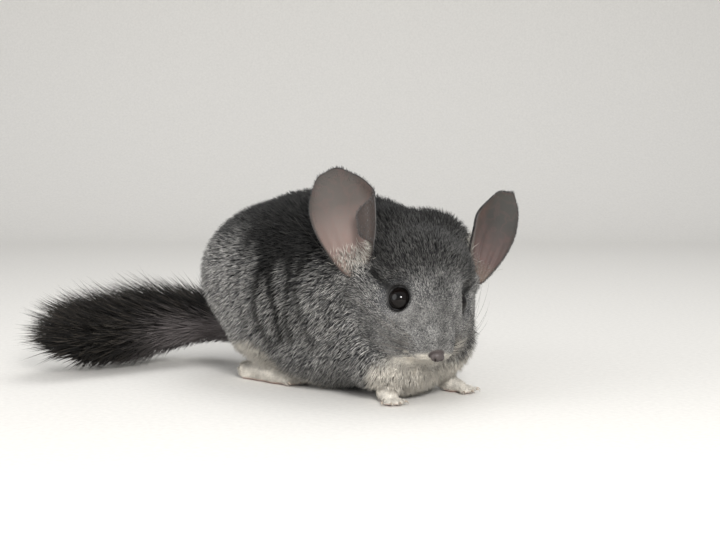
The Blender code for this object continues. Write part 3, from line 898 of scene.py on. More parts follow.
def grow_tail():
    share = 0.05 + 0.95 * draw.random(BRISTLES) ** 0.92
    around = np.radians(draw.normal(0, 62, BRISTLES))
    around = np.clip(around, -math.radians(150), math.radians(150))
    root, out, along = tail_roots(share, around)
    top = np.cos(0.8 * around)
    length = (20 + 25 * np.clip(top, -0.3, 1)) * draw.uniform(0.72, 1.12, BRISTLES)
    length = length * np.where(share < 0.45, 0.14 + 1.9 * share, 1.0) * MM
    sweep = 26 + 22 * share + 20 * (1 - top) + draw.normal(0, 7, BRISTLES)
    sweep = np.minimum(sweep + 28 * soft_step(0.86, 1.0, share) * draw.random(BRISTLES), 84)
    bend = draw.uniform(18, 40, BRISTLES)
    lean = np.radians(np.column_stack((sweep, np.minimum(sweep + bend, 96))))
    chosen = draw.choice(BRISTLES, TAIL_LOCKS, replace=False)
    pull = nearest_of(root[chosen], root) - root
    pull = pull * draw.uniform(0.5, 1.0, BRISTLES)[:, None]
    width = draw.uniform(0.26, 0.48, BRISTLES) * MM
    side = draw.normal(0, 0.14, (BRISTLES, 3))
    lie = unit(along + side - out * ((along + side) * out).sum(axis=1, keepdims=True))
    tone = draw.random(BRISTLES)
    under = soft_step(35, 78, np.degrees(np.abs(around)))
    woolly = 0.95 * np.maximum(soft_step(0.25, 0.02, share), under * soft_step(0.72, 0.35, share))
    light = 0.6 + 0.45 * woolly
    marks = np.column_stack((tone, woolly, light))
    uv = tail_uv(share, around)
    pieces = []
    for part in range(2):
        pick = slice(part, None, 2)
        pieces.append(tuft_object(
            f"tail_bristles_{part + 1}", root[pick], out[pick], lie[pick], length[pick], width[pick],
            lean[pick], pull[pick], marks[pick], uv[pick], 3,
        ))

    share = draw.random(TAIL_WOOL)
    around = draw.uniform(-math.pi, math.pi, TAIL_WOOL)
    root, out, along = tail_roots(share, around)
    under = soft_step(60, 130, np.degrees(np.abs(around)))
    length = draw.uniform(5, 9, TAIL_WOOL) * (0.8 + 0.9 * soft_step(0.3, 0.7, share)) * MM
    lean = np.radians(np.column_stack((
        draw.normal(40, 8, TAIL_WOOL), draw.normal(74, 8, TAIL_WOOL),
    )))
    woolly = np.maximum(under, soft_step(0.3, 0.1, share)) * soft_step(0.95, 0.4, share)
    marks = np.column_stack((draw.random(TAIL_WOOL), woolly, np.full(TAIL_WOOL, 0.8)))
    width = draw.uniform(0.35, 0.6, TAIL_WOOL) * MM
    pieces.append(tuft_object(
        "tail_wool", root, out, along, length, width, lean, np.zeros((TAIL_WOOL, 3)),
        marks, tail_uv(share, around), 2,
    ))
    return pieces


tail = grow_tail()
print("tail:", sum(len(piece.data.polygons) for piece in tail), "triangles")

# %% [markdown]
# ## Ears
# An ear is a thin sheet of gristle with skin on both sides, rolled into a tube at its root and open
# like a shell above. It could be carved from a block, but a sheet with a thickness that thins to
# the rim is closer to how it grows, and gives the light edge that a real ear shows.

# %% The ears
EAR_LENGTH = 56.0
EAR_WIDTH = 49.0
EAR_PLACE = (-20, 36, -6)
EAR_BACK = 10
EAR_CELLS = 60
EAR_HOLDS = {
    "left": {"out": 23, "facing": -15, "front": 0.58, "rear": 0.47, "belly": 0.25,
             "roll": 18, "fold": 1.2, "fold_from": 0.5, "bend": 2},
    "right": {"out": 16, "facing": 20, "front": 0.95, "rear": 0.74, "belly": 0.7,
              "roll": 25, "fold": 4.8, "fold_from": 0.82, "bend": 5},
}


def ear_frame(side, sign):
    """+Z runs up the ear, and +X out of its opening."""
    base = HEAD @ (Vector(EAR_PLACE) * Vector((1, sign, 1)) * MM)
    return (
        Matrix.Translation(base)
        @ Matrix.Rotation(HEAD_TURN, 4, "Z")
        @ Matrix.Rotation(HEAD_ROLL, 4, "X")
        @ Matrix.Rotation(-math.radians(EAR_HOLDS[side]["out"]) * sign, 4, "X")
        @ Matrix.Rotation(-math.radians(EAR_BACK), 4, "Y")
        @ Matrix.Rotation(math.radians(EAR_HOLDS[side]["facing"]) * sign, 4, "Z")
    )


def ear_sheet(across, height, sign, hold):
    """The middle of the sheet, from how far across (-1 to 1) and how high (0 to 1) a point is."""
    fullness = 1.15 * height
    fullness = (fullness + 1 - np.sqrt((fullness - 1) ** 2 + 0.02)) / 2
    outline = 0.80 + 0.20 * np.sin(math.pi * fullness - 0.5)
    front = across * sign < 0
    belly = hold["belly"] * hump(height, 0.42, 0.22)
    wide_half = np.where(front, hold["front"] + belly, hold["rear"])
    reach = across * outline * wide_half * EAR_WIDTH / 2
    roll = 9 + hold["roll"] * np.maximum(height, 0) ** 1.2
    steps = 24
    wide = np.zeros_like(reach)
    forward = np.zeros_like(reach)
    for step in range(steps):
        walked = np.abs(reach) * (step + 0.5) / steps
        angle = walked / roll
        curl = np.maximum(0, walked / (EAR_WIDTH / 2) - hold["fold_from"])
        curl = hold["fold"] * curl * np.maximum(1 - height, 0) ** 0.35
        angle = angle + np.where(front, curl, 0.0)
        wide = wide + np.cos(angle) * np.abs(reach) / steps
        forward = forward + np.sin(angle) * np.abs(reach) / steps
    bend = hold["bend"] * height * height
    return np.column_stack((forward - bend, np.copysign(wide, reach), height * EAR_LENGTH))


def build_ear(side, sign):
    hold = EAR_HOLDS[side]
    line = np.linspace(-1, 1, EAR_CELLS + 1)
    x, y = (grid.ravel() for grid in np.meshgrid(line, line))
    across = x * np.sqrt(1 - y * y / 2)
    up = y * np.sqrt(1 - x * x / 2)
    edge = 1 - np.sqrt(across ** 2 + up ** 2)
    height = (up + 1) / 2
    wave = 0.010 * np.sin(9 * np.arctan2(across, up)) * (1 - edge)
    height = height * (1 + wave) - 0.05 * (1 - height)
    middle = ear_sheet(across, height, sign, hold)
    step = 0.01
    normal = np.cross(
        ear_sheet(across + step, height, sign, hold) - middle,
        ear_sheet(across, height + step, sign, hold) - middle,
    )
    normal = unit(normal)
    normal = normal * np.sign(normal[len(normal) // 2, 0])
    low = soft_step(0.6, 0.0, height)
    ribs = 0.45 * low * np.sin(across * 16 + 4 * height) * soft_step(0, 0.3, edge)
    ribs = ribs + 0.9 * hump(across * sign, -0.35, 0.09) * soft_step(0.75, 0.25, height)
    thick = 0.32 + 0.95 * soft_step(0, 0.45, edge) * (0.55 + 0.8 * low)
    thick = thick + 0.35 * hump(edge, 0.04, 0.035)
    inner = middle + normal * (thick / 2 + np.maximum(ribs, -0.2))[:, None]
    outer = middle - normal * (thick / 2)[:, None]
    points = out_of(ear_frame(side, sign), np.concatenate((inner, outer)))

    side_count = EAR_CELLS + 1
    size = side_count ** 2
    grid = np.arange(size).reshape(side_count, side_count)
    low_left = grid[:-1, :-1].ravel()
    faces = np.column_stack((low_left, low_left + 1, low_left + side_count + 1, low_left + side_count))
    border = np.concatenate((grid[0, :-1], grid[:-1, -1], grid[-1, :0:-1], grid[:0:-1, 0]))
    after = np.roll(border, -1)
    rim = np.column_stack((border, after, after + size, border + size))
    away = np.cross(middle[1] - middle[0], middle[side_count] - middle[0])
    if (away * normal[0]).sum() < 0:
        inner_faces, outer_faces, rim_faces = faces[:, ::-1], faces + size, rim
    else:
        inner_faces, outer_faces, rim_faces = faces, faces[:, ::-1] + size, rim[:, ::-1]
    ear = mesh_object("auricle_" + side, points, np.concatenate((inner_faces, outer_faces, rim_faces)))
    inside = np.repeat((1.0, 0.0), size)
    marks = np.column_stack((
        np.tile(height, 2), np.tile(0.5 - 0.5 * across * sign, 2), inside, np.tile(edge, 2),
    ))
    paint_points(ear.data, "ear", marks)
    unwrap(ear)
    return ear


ears = {side: build_ear(side, sign) for side, sign in SIDES.items()}

# %% [markdown]
# Fine hair lies over the back of the ear and stands out along its rim, and a pale tuft covers the
# entrance of the ear at its root. It is grown with the same blades as the coat.

# %% Hair on the ears
EAR_HAIRS = 3400
EAR_TUFT_HAIRS = 420


def ear_corner_values(ear, surface_rows):
    layer = np.empty(len(ear.data.vertices) * 4, np.float32)
    ear.data.attributes["ear"].data.foreach_get("color", layer)
    return layer.reshape(-1, 4)[surface_rows]


def grow_ear_hair(side, sign):
    ear = ears[side]
    surface = surface_of(ear)
    mesh = ear.data
    corner = np.empty(len(mesh.loop_triangles) * 3, np.int32)
    mesh.loop_triangles.foreach_get("vertices", corner)
    value = ear_corner_values(ear, corner).reshape(-1, 3, 4).mean(axis=1)
    height, across, inside, edge = value.T
    frame_turn = np.array(ear_frame(side, sign))[:3, :3]
    upward = frame_turn @ np.array((0.0, 0, 1))
    opening = frame_turn @ np.array((1.0, 0, 0))

    outside = (inside < 0.5) * (1 + 2.5 * (edge < 0.05))
    root, normal, uv = scatter(surface, EAR_HAIRS, outside)
    count = len(root)
    field = upward + draw.normal(0, 0.25, (count, 3))
    lie = unit(field - normal * (field * normal).sum(axis=1, keepdims=True))
    length = draw.uniform(1.3, 2.6, count) * MM
    width = draw.uniform(0.12, 0.22, count) * MM
    lean = np.radians(np.column_stack((draw.normal(55, 8, count), draw.normal(80, 6, count))))
    marks = np.column_stack((draw.random(count) * 0.5, np.zeros(count), np.full(count, 0.62)))
    still = np.zeros((count, 3))
    pieces = [tuft_object(
        "ear_hair_" + side, root, normal, lie, length, width, lean, still, marks, uv, 2,
    )]

    entrance = (inside > 0.5) * soft_step(0.26, 0.10, height) * (0.4 + across)
    entrance = entrance + 1.6 * (inside > 0.5) * hump(across, 0.9, 0.07) * soft_step(0.42, 0.2, height)
    root, normal, uv = scatter(surface, EAR_TUFT_HAIRS, entrance)
    count = len(root)
    field = upward * 1.0 + opening * 0.5 + draw.normal(0, 0.3, (count, 3))
    lie = unit(field - normal * (field * normal).sum(axis=1, keepdims=True))
    length = draw.uniform(4.0, 8.0, count) * MM
    width = draw.uniform(0.16, 0.28, count) * MM
    lean = np.radians(np.column_stack((draw.normal(35, 10, count), draw.normal(75, 8, count))))
    marks = np.column_stack((draw.random(count), np.full(count, 0.7), np.full(count, 0.95)))
    pieces.append(tuft_object(
        "ear_tuft_" + side, root, normal, lie, length, width, lean, np.zeros((count, 3)),
        marks, uv, 2,
    ))
    return pieces


ear_hair = [piece for side, sign in SIDES.items() for piece in grow_ear_hair(side, sign)]
print("ear hair:", sum(len(piece.data.polygons) for piece in ear_hair), "triangles")

# %% [markdown]
# ## Eyes
# The eye is a ball with a clearer, steeper window in front, the cornea. In this animal the iris is
# so dark that the whole eye looks black, and its life comes from the highlight on the wet surface.

# %% The eyes
EYE_RINGS = 40
EYE_SPOKES = 56


def build_eye(side):
    angle = np.linspace(0, math.pi, EYE_RINGS + 1)[1:-1]
    spoke = np.linspace(0, 2 * math.pi, EYE_SPOKES, endpoint=False)
    polar, around = (grid.ravel() for grid in np.meshgrid(angle, spoke, indexing="ij"))
    radius = EYE_RADIUS / MM + 0.32 * soft_step(0.75, 0.25, polar)
    ball = np.column_stack((
        radius * np.sin(polar) * np.cos(around),
        radius * np.sin(polar) * np.sin(around),
        radius * np.cos(polar),
    ))
    rows = EYE_RINGS - 1
    ends = np.array(((0, 0, EYE_RADIUS / MM + 0.32), (0, 0, -EYE_RADIUS / MM)))
    points = np.concatenate((ball, ends))
    faces = ring_faces(rows, EYE_SPOKES)
    front = len(ball)
    caps = []
    for step in range(EYE_SPOKES):
        after = (step + 1) % EYE_SPOKES
        last = (rows - 1) * EYE_SPOKES
        caps.append((front, step, after, after))
        caps.append((front + 1, last + after, last + step, last + step))
    mesh = bpy.data.meshes.new("eyeball_" + side)
    world = out_of(EYES[side], points)
    flat = [tuple(face) for face in faces] + [tuple(dict.fromkeys(cap)) for cap in caps]
    mesh.from_pydata([tuple(point) for point in world], [], [tuple(map(int, face)) for face in flat])
    mesh.shade_smooth()
    paint_points(mesh, "eye", np.column_stack((points / (EYE_RADIUS / MM), np.ones(len(points)))))
    return add_object("eyeball_" + side, mesh)


eyeballs = {side: build_eye(side) for side in SIDES}

# %% [markdown]
# ## Nose, whiskers and claws
# The nose is a small leathery pad with two comma-shaped nostrils and a groove down its middle. It is
# shaped here from a ball, because its folds are finer than the skin's faces.

# %% The nose
NOSE_SIZE = np.array((2.9, 3.7, 3.1))
NOSTRIL_DEPTH = 1.7


def build_nose():
    bm = bmesh.new()
    bmesh.ops.create_uvsphere(bm, u_segments=96, v_segments=64, radius=1.0)
    mesh = bpy.data.meshes.new("nose")
    bm.to_mesh(mesh)
    bm.free()
    ball = read_points(mesh)
    q = ball * NOSE_SIZE
    x, y, z = q.T
    narrow = 1 - 0.32 * soft_step(0, -3.4, z)
    q[:, 1] = y * narrow
    push = np.zeros(len(q))
    for sign in SIDES.values():
        run = q[:, 1] * sign - 1.75 - 0.28 * z
        rise = z + 0.2
        nostril = np.exp(-(run / 0.72) ** 2 - (rise / 1.15) ** 2) * (x > 0)
        wing = np.exp(-((run - 1.1) / 0.7) ** 2 - (rise / 1.9) ** 2) * (x > 0)
        push = push - NOSTRIL_DEPTH * nostril + 0.35 * wing
    push = push - 0.6 * np.exp(-(q[:, 1] / 0.42) ** 2) * soft_step(1.2, -0.6, z) * (x > 0)
    q = q + ball * push[:, None] + np.array(NOSE_PLACE)
    write_points(mesh, out_of(HEAD, q))
    mesh.shade_smooth()
    # Painted shade: the nostrils and the groove are painted darker the deeper they are pushed in.
    depth = np.clip(-push / NOSTRIL_DEPTH, 0, 1)
    paint_points(mesh, "nose", np.column_stack((depth, depth, depth, depth)))
    return add_object("nose", mesh)


nose = build_nose()

# %% [markdown]
# Whiskers and claws are both tapering rods, so one function sweeps a ring along a path for each.
# The whiskers stand in rows on the upper lip, the longest at the back, and sweep back as they do
# when the animal rests.

# %% Whiskers and claws
def rods(name, paths, radii, sides):
    """Tapering closed rods in one mesh, along paths in the world."""
    points = []
    faces = []
    for path, radius in zip(paths, radii):
        start = len(points)
        for index, place in enumerate(path):
            ahead = path[min(index + 1, len(path) - 1)] - path[max(index - 1, 0)]
            ahead = Vector(ahead).normalized()
            across = ahead.orthogonal().normalized()
            above = ahead.cross(across)
            for side in range(sides):
                angle = 2 * math.pi * side / sides
                way = across * math.cos(angle) + above * math.sin(angle)
                points.append(Vector(place) + way * radius[index])
        for index in range(len(path) - 1):
            for side in range(sides):
                after = (side + 1) % sides
                low = start + index * sides
                high = low + sides
                faces.append((low + side, low + after, high + after, high + side))
        faces.append(tuple(start + side for side in reversed(range(sides))))
        last = start + (len(path) - 1) * sides
        faces.append(tuple(last + side for side in range(sides)))
    mesh = bpy.data.meshes.new(name)
    mesh.from_pydata(points, [], faces)
    mesh.shade_smooth()
    return add_object(name, mesh)


WHISKER_ROWS = 4
WHISKERS_IN_ROW = 6
FRONT_WHISKER = 26
BACK_WHISKER = 72


def whisker_paths():
    paths = []
    radii = []
    for sign in SIDES.values():
        for row in range(WHISKER_ROWS):
            for place in range(WHISKERS_IN_ROW):
                back = place / (WHISKERS_IN_ROW - 1)
                root = np.array((27 - 6 * back, (7.0 + 3.2 * back) * sign, -3.0 - 2.4 * row - back))
                root = root + draw.normal(0, 0.3, 3)
                length = FRONT_WHISKER + (BACK_WHISKER - FRONT_WHISKER) * back
                length = length * draw.uniform(0.8, 1.1)
                way = unit(np.array((
                    0.05 - 0.75 * back, 0.95 * sign, 0.15 - 0.2 * row + draw.normal(0, 0.08),
                )))
                sag = np.array((-0.45 - 0.25 * back, -0.12 * sign, -0.27))
                share = np.linspace(0, 1, 14)[:, None]
                path = root + way * share * length + sag * share ** 2 * length
                path = path - way * (1 - share) * 1.5
                world = out_of(HEAD, path)
                world[:, 2] = np.maximum(world[:, 2], 1.5 * MM)
                paths.append(world)
                radii.append((0.14 * (1 - 0.85 * share[:, 0])) * MM)
    return paths, radii


whiskers = rods("whiskers", *whisker_paths(), 5)

FOREPAWS = (((60, 26, 0), 8), ((56, -22, 0), -28))
HIND_FEET = (((-33, 30, 0), -8), ((-33, -29, 0), 8))


def claw_paths():
    paths = []
    radii = []
    feet = [(foot, ((-27, 7.0), (-9, 8.5), (9, 8.5), (27, 7.0)), 4.5, 1.0, 1.15) for foot in FOREPAWS]
    feet += [(foot, ((-16, 9), (0, 11), (16, 9)), 10.0, 1.3, 1.0) for foot in HIND_FEET]
    for (place, heading), toes, start, size, splay in feet:
        turn = Matrix.Translation(Vector(place) * MM) @ Matrix.Rotation(math.radians(heading), 4, "Z")
        for spread, length in toes:
            angle = math.radians(spread)
            tip = start + length * 0.86 + 1.6
            share = np.linspace(0, 1, 7)
            far = tip + 2.3 * size * share
            high = 2.1 + 0.5 * np.sin(share * 2.0) - 1.7 * share ** 2
            path = np.column_stack((far * math.cos(angle), far * math.sin(angle) * splay, high))
            paths.append(out_of(turn, path))
            radii.append(0.48 * size * (1 - share ** 1.5 * 0.93) * MM)
    return paths, radii


claws = rods("claws", *claw_paths(), 10)
print("whiskers and claws:", len(whiskers.data.polygons) + len(claws.data.polygons), "faces")

# %% [markdown]
# ## Materials
# Every material is a small network of nodes. One function adds a node with its settings and links,
# which keeps the networks short enough to read.

# %% A node with its settings and links
def new_tree(name):
    material = bpy.data.materials.new(name)
    material.use_nodes = True
    material.node_tree.nodes.clear()
    return material, material.node_tree


def add_node(tree, kind, values=None, links=None, stops=None, **settings):
    """values and links are given by a socket's name or number, and stops are a ramp's colours."""
    node = tree.nodes.new("ShaderNode" + kind)
    for key, value in settings.items():
        setattr(node, key, value)
    for key, value in (values or {}).items():
        node.inputs[key].default_value = value
    for key, source in (links or {}).items():
        tree.links.new(source, node.inputs[key])
    if stops:
        ramp = node.color_ramp.elements
        while len(ramp) < len(stops):
            ramp.new(0.5)
        for element, (place, hex_colour) in zip(ramp, stops):
            element.position = place
            element.color = linear(hex_colour)
    return node


def finish_material(tree, shader):
    add_node(tree, "OutputMaterial", links={"Surface": shader.outputs[0]})


# %% [markdown]
# ### The coat
# One hair of this animal is slate blue for most of its length, then has a silver band and a black
# tip. Tufts differ in how much of the band shows, which makes the salt and pepper of the coat. The
# underside is creamy white to the roots. Hair is dull with a soft sheen at grazing angles, and has
# the refraction of keratin, 1.55.

# %% Fur material
SLATE = "2b2c2f"
PEPPER = "3a3a3c"
SILVER = "c4c2bd"
BLACK_TIP = "1d1d1e"
CREAM = "cdc8bf"
CREAM_ROOT = "908b83"
KERATIN_IOR = 1.55


def fur_colour(tree):
    """The colour that the marks kept in the mesh give: along, tone, white and brightness."""
    marks = add_node(tree, "Attribute", attribute_name="coat")
    split = add_node(tree, "SeparateColor", links={0: marks.outputs["Color"]})
    along, tone, white = split.outputs[0], split.outputs[1], split.outputs[2]
    root = add_node(tree, "ValToRGB", links={0: along}, stops=(
        (0.0, SLATE), (0.45, PEPPER), (0.72, "5b5b5c"), (1.0, BLACK_TIP),
    ))
    band = add_node(tree, "ValToRGB", links={0: along}, stops=(
        (0.30, "000000"), (0.56, "f0f0f0"), (0.80, "ffffff"), (0.95, "303030"),
    ))
    share = add_node(tree, "MapRange", values={1: 0.20, 2: 1.0, 3: 0.0, 4: 0.86}, links={0: tone})
    amount = add_node(tree, "Math", operation="MULTIPLY",
                      links={0: band.outputs[0], 1: share.outputs[0]})
    grey = add_node(tree, "Mix", data_type="RGBA", values={7: linear(SILVER)},
                    links={0: amount.outputs[0], 6: root.outputs[0]})
    cream = add_node(tree, "ValToRGB", links={0: along}, stops=(
        (0.0, CREAM_ROOT), (0.5, CREAM), (1.0, CREAM),
    ))
    both = add_node(tree, "Mix", data_type="RGBA",
                    links={0: white, 6: grey.outputs[2], 7: cream.outputs[0]})
    patch = add_node(tree, "TexNoise", values={"Scale": 1 / (6 * MM), "Detail": 3.0},
                     links={0: add_node(tree, "TexCoord").outputs["Object"]})
    cloud = add_node(tree, "MapRange", values={1: 0.32, 2: 0.68, 3: 0.74, 4: 1.28},
                     links={0: patch.outputs[0]})
    bright = add_node(tree, "Math", operation="MULTIPLY",
                      links={0: marks.outputs["Alpha"], 1: cloud.outputs[0]})
    return add_node(tree, "VectorMath", operation="SCALE",
                    links={0: both.outputs[2], "Scale": bright.outputs[0]}).outputs[0]


def fur_material():
    material, tree = new_tree("dense_chinchilla_fur")
    shader = add_node(tree, "BsdfPrincipled", links={"Base Color": fur_colour(tree)}, values={
        "Roughness": 0.78, "IOR": KERATIN_IOR, "Specular IOR Level": 0.13,
        "Sheen Weight": 0.03, "Sheen Roughness": 0.45,
    })
    finish_material(tree, shader)
    return material


# %% [markdown]
# ### The skin
# Skin shows only where the coat is shortest: on the muzzle, the lids, the soles and between tufts.
# There the same colour function paints it, and a bump as fine as short hair, drawn coarser than a
# real hair so that it shows, breaks up its light. The rims of the lids are almost black and moist.

# %% Skin material
HAIR_GRAIN = 0.45 * MM
LID_BLACK = "080606"
NOSE_GREY = "4a4342"
SOLE_PINK = "b08a80"
TAIL_SKIN = "24201f"


def skin_material():
    material, tree = new_tree("furred_skin")
    place = add_node(tree, "TexCoord").outputs["Object"]
    grain = add_node(tree, "TexNoise", values={"Scale": 1 / HAIR_GRAIN, "Detail": 3.0}, links={0: place})
    parts = add_node(tree, "Attribute", attribute_name="bare")
    split = add_node(tree, "SeparateColor", links={0: parts.outputs["Color"]})
    speck = add_node(tree, "MapRange", values={1: 0.3, 2: 0.7, 3: 0.7, 4: 1.3}, links={0: grain.outputs[0]})
    colour = add_node(tree, "VectorMath", operation="SCALE",
                      links={0: fur_colour(tree), "Scale": speck.outputs[0]}).outputs[0]
    bare_parts = (
        (split.outputs[0], NOSE_GREY), (split.outputs[2], SOLE_PINK),
        (parts.outputs["Alpha"], TAIL_SKIN), (split.outputs[1], LID_BLACK),
    )
    for amount, bare_colour in bare_parts:
        colour = add_node(tree, "Mix", data_type="RGBA", values={7: linear(bare_colour)},
                          links={0: amount, 6: colour}).outputs[2]
    gloss = add_node(tree, "MapRange", values={3: 0.75, 4: 0.5}, links={0: split.outputs[1]})
    bump = add_node(tree, "Bump", values={"Strength": 0.5, "Distance": 0.25 * MM},
                    links={"Height": grain.outputs[0]})
    shader = add_node(tree, "BsdfPrincipled", values={"IOR": 1.45}, links={
        "Base Color": colour, "Roughness": gloss.outputs[0], "Normal": bump.outputs[0],
    })
    finish_material(tree, shader)
    return material


# %% [markdown]
# ### The tail's bristles
# The bristles are brownish black, and some run out to a paler horn colour at the tip, where they
# are thin enough to let light through. The short wool at the root and below is brownish grey.

# %% Bristle material
TAIL_WOOL_GREY = "767070"


def bristle_material():
    material, tree = new_tree("tail_bristle")
    marks = add_node(tree, "Attribute", attribute_name="coat")
    split = add_node(tree, "SeparateColor", links={0: marks.outputs["Color"]})
    dark = add_node(tree, "ValToRGB", links={0: split.outputs[0]}, stops=(
        (0.0, "242221"), (0.35, "171615"), (0.8, "191817"), (1.0, "322f2c"),
    ))
    pale = add_node(tree, "ValToRGB", links={0: split.outputs[0]}, stops=(
        (0.0, "2d2928"), (0.5, "2a2725"), (0.85, "5f5850"), (1.0, "8d8477"),
    ))
    share = add_node(tree, "MapRange", values={1: 0.60, 2: 1.0}, links={0: split.outputs[1]})
    both = add_node(tree, "Mix", data_type="RGBA",
                    links={0: share.outputs[0], 6: dark.outputs[0], 7: pale.outputs[0]})
    woolly = add_node(tree, "Mix", data_type="RGBA", values={7: linear(TAIL_WOOL_GREY)},
                      links={0: split.outputs[2], 6: both.outputs[2]})
    lit = add_node(tree, "VectorMath", operation="SCALE",
                   links={0: woolly.outputs[2], "Scale": marks.outputs["Alpha"]})
    shader = add_node(tree, "BsdfPrincipled", links={"Base Color": lit.outputs[0]}, values={
        "Roughness": 0.55, "IOR": KERATIN_IOR, "Specular IOR Level": 0.2,
    })
    finish_material(tree, shader)
    return material


# %% [markdown]
# ### Ear skin
# The inside of the ear is nearly bare: pink low down, where blood vessels branch through it, and
# greyish brown above. The back carries fine dark hair. Light scatters in the thin sheet, so the
# material has a little subsurface light, reddened by blood.

# %% Ear material
EAR_FOLD = "3f332d"
EAR_RIM = "35302d"
EAR_VEIN = "7a4f4b"
EAR_REAR = "352c28"
# Painted shade: the left ear's inside is painted darker than the right's, as a shaded copy of the same
# colours.
EAR_INSIDES_LIT_AND_SHADED = {
    "left": ((0.05, "6e6057"), (0.22, "564643"), (0.46, "433936"), (0.66, "33312e"), (0.92, "35332f")),
    "right": ((0.05, "85776f"), (0.22, "7d6c66"), (0.46, "6b5e59"), (0.66, "4f4844"), (0.92, "423d39")),
}


def ear_material(name, stops):
    material, tree = new_tree(name)
    marks = add_node(tree, "Attribute", attribute_name="ear")
    split = add_node(tree, "SeparateColor", links={0: marks.outputs["Color"]})
    height, across, inside = split.outputs[0], split.outputs[1], split.outputs[2]
    place = add_node(tree, "TexCoord").outputs["Object"]
    inner = add_node(tree, "ValToRGB", links={0: height}, stops=stops)
    front = add_node(tree, "MapRange", values={1: 0.74, 2: 0.86}, links={0: across})
    fold = add_node(tree, "Mix", data_type="RGBA", values={7: linear(EAR_FOLD)},
                    links={0: front.outputs[0], 6: inner.outputs[0]})
    rim = add_node(tree, "MapRange", values={1: 0.10, 2: 0.0}, links={0: marks.outputs["Alpha"]})
    edged = add_node(tree, "Mix", data_type="RGBA", values={7: linear(EAR_RIM)},
                     links={0: rim.outputs[0], 6: fold.outputs[2]})
    vein_noise = add_node(tree, "TexNoise", values={"Scale": 1 / (7 * MM), "Detail": 1.5}, links={0: place})
    vein = add_node(tree, "ValToRGB", links={0: vein_noise.outputs[0]}, stops=(
        (0.44, "000000"), (0.495, "ffffff"), (0.505, "ffffff"), (0.56, "000000"),
    ))
    faint = add_node(tree, "Math", operation="MULTIPLY", values={1: 0.08}, links={0: vein.outputs[0]})
    veined = add_node(tree, "Mix", data_type="RGBA", values={7: linear(EAR_VEIN)},
                      links={0: faint.outputs[0], 6: edged.outputs[2]})
    back = add_node(tree, "Mix", data_type="RGBA", values={6: linear(EAR_REAR)},
                    links={0: inside, 7: veined.outputs[2]})
    grain = add_node(tree, "TexNoise", values={"Scale": 1 / (0.8 * MM), "Detail": 3.0}, links={0: place})
    bump = add_node(tree, "Bump", values={"Strength": 0.25, "Distance": 0.2 * MM},
                    links={"Height": grain.outputs[0]})
    shader = add_node(tree, "BsdfPrincipled", values={
        "Roughness": 0.66, "IOR": 1.4, "Subsurface Weight": 0.10, "Subsurface Scale": 1.0 * MM,
        "Subsurface Radius": (1.0, 0.45, 0.3), "Sheen Weight": 0.25, "Sheen Roughness": 0.4,
    }, links={"Base Color": back.outputs[2], "Normal": bump.outputs[0]})
    finish_material(tree, shader)
    return material


# %% [markdown]
# ### Eye, nose, whiskers and claws
# The eye is wet, so it is the one glossy thing on the animal: a dark brown iris with an upright
# slit, under a clear coat with the refraction of water and tears, 1.34 to 1.38.

# %% Eye material
def eye_material():
    material, tree = new_tree("wet_dark_eye")
    marks = add_node(tree, "Attribute", attribute_name="eye")
    squeezed = add_node(tree, "VectorMath", operation="MULTIPLY", values={1: (2.6, 1.0, 0.0)},
                        links={0: marks.outputs["Vector"]})
    slit = add_node(tree, "VectorMath", operation="LENGTH", links={0: squeezed.outputs[0]})
    pupil = add_node(tree, "MapRange", values={1: 0.46, 2: 0.52}, links={0: slit.outputs[1]})
    flat = add_node(tree, "VectorMath", operation="MULTIPLY", values={1: (1.0, 1.0, 0.0)},
                    links={0: marks.outputs["Vector"]})
    reach = add_node(tree, "VectorMath", operation="LENGTH", links={0: flat.outputs[0]})
    iris = add_node(tree, "ValToRGB", links={0: reach.outputs[1]}, stops=(
        (0.0, "080505"), (0.55, "0c0706"), (0.78, "080504"), (0.86, "040303"),
    ))
    colour = add_node(tree, "Mix", data_type="RGBA", values={6: linear("020202")},
                      links={0: pupil.outputs[0], 7: iris.outputs[0]})
    shader = add_node(tree, "BsdfPrincipled", links={"Base Color": colour.outputs[2]}, values={
        "Roughness": 0.3, "IOR": 1.376, "Specular IOR Level": 0.0,
        "Coat Weight": 1.0, "Coat Roughness": 0.03, "Coat IOR": 1.34,
    })
    finish_material(tree, shader)
    return material


# %% Nose, whisker and claw materials
def nose_material():
    material, tree = new_tree("nose_leather")
    marks = add_node(tree, "Attribute", attribute_name="nose")
    place = add_node(tree, "TexCoord").outputs["Object"]
    pebble = add_node(tree, "TexVoronoi", values={"Scale": 1 / (0.45 * MM)}, links={0: place})
    # Painted shade: the deeper a point of the nose is pushed in, the darker it is painted.
    depth = add_node(tree, "ValToRGB", links={0: marks.outputs["Fac"]}, stops=(
        (0.0, NOSE_GREY), (0.35, "2f2726"), (0.75, "0e0a09"),
    ))
    bump = add_node(tree, "Bump", values={"Strength": 0.35, "Distance": 0.15 * MM},
                    links={"Height": pebble.outputs[0]})
    shader = add_node(tree, "BsdfPrincipled", values={"Roughness": 0.45, "IOR": 1.4},
                      links={"Base Color": depth.outputs[0], "Normal": bump.outputs[0]})
    finish_material(tree, shader)
    return material


def horn_material(name, first, second, grain, roughness):
    """Horn with a fine streak in it: whiskers are dark and stiff, claws pale and translucent."""
    material, tree = new_tree(name)
    place = add_node(tree, "TexCoord").outputs["Object"]
    streak = add_node(tree, "TexNoise", values={"Scale": 1 / grain, "Detail": 2.0}, links={0: place})
    colour = add_node(tree, "ValToRGB", links={0: streak.outputs[0]}, stops=((0.35, first), (0.65, second)))
    shader = add_node(tree, "BsdfPrincipled", values={"Roughness": roughness, "IOR": KERATIN_IOR},
                      links={"Base Color": colour.outputs[0]})
    finish_material(tree, shader)
    return material


# %% Give every piece its material and its place on the body
def dress(things, material, slot, *replaced):
    for thing in things:
        thing.data.materials.clear()
        thing.data.materials.append(material)
        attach(thing, "root")
    if replaced:
        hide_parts(*replaced)


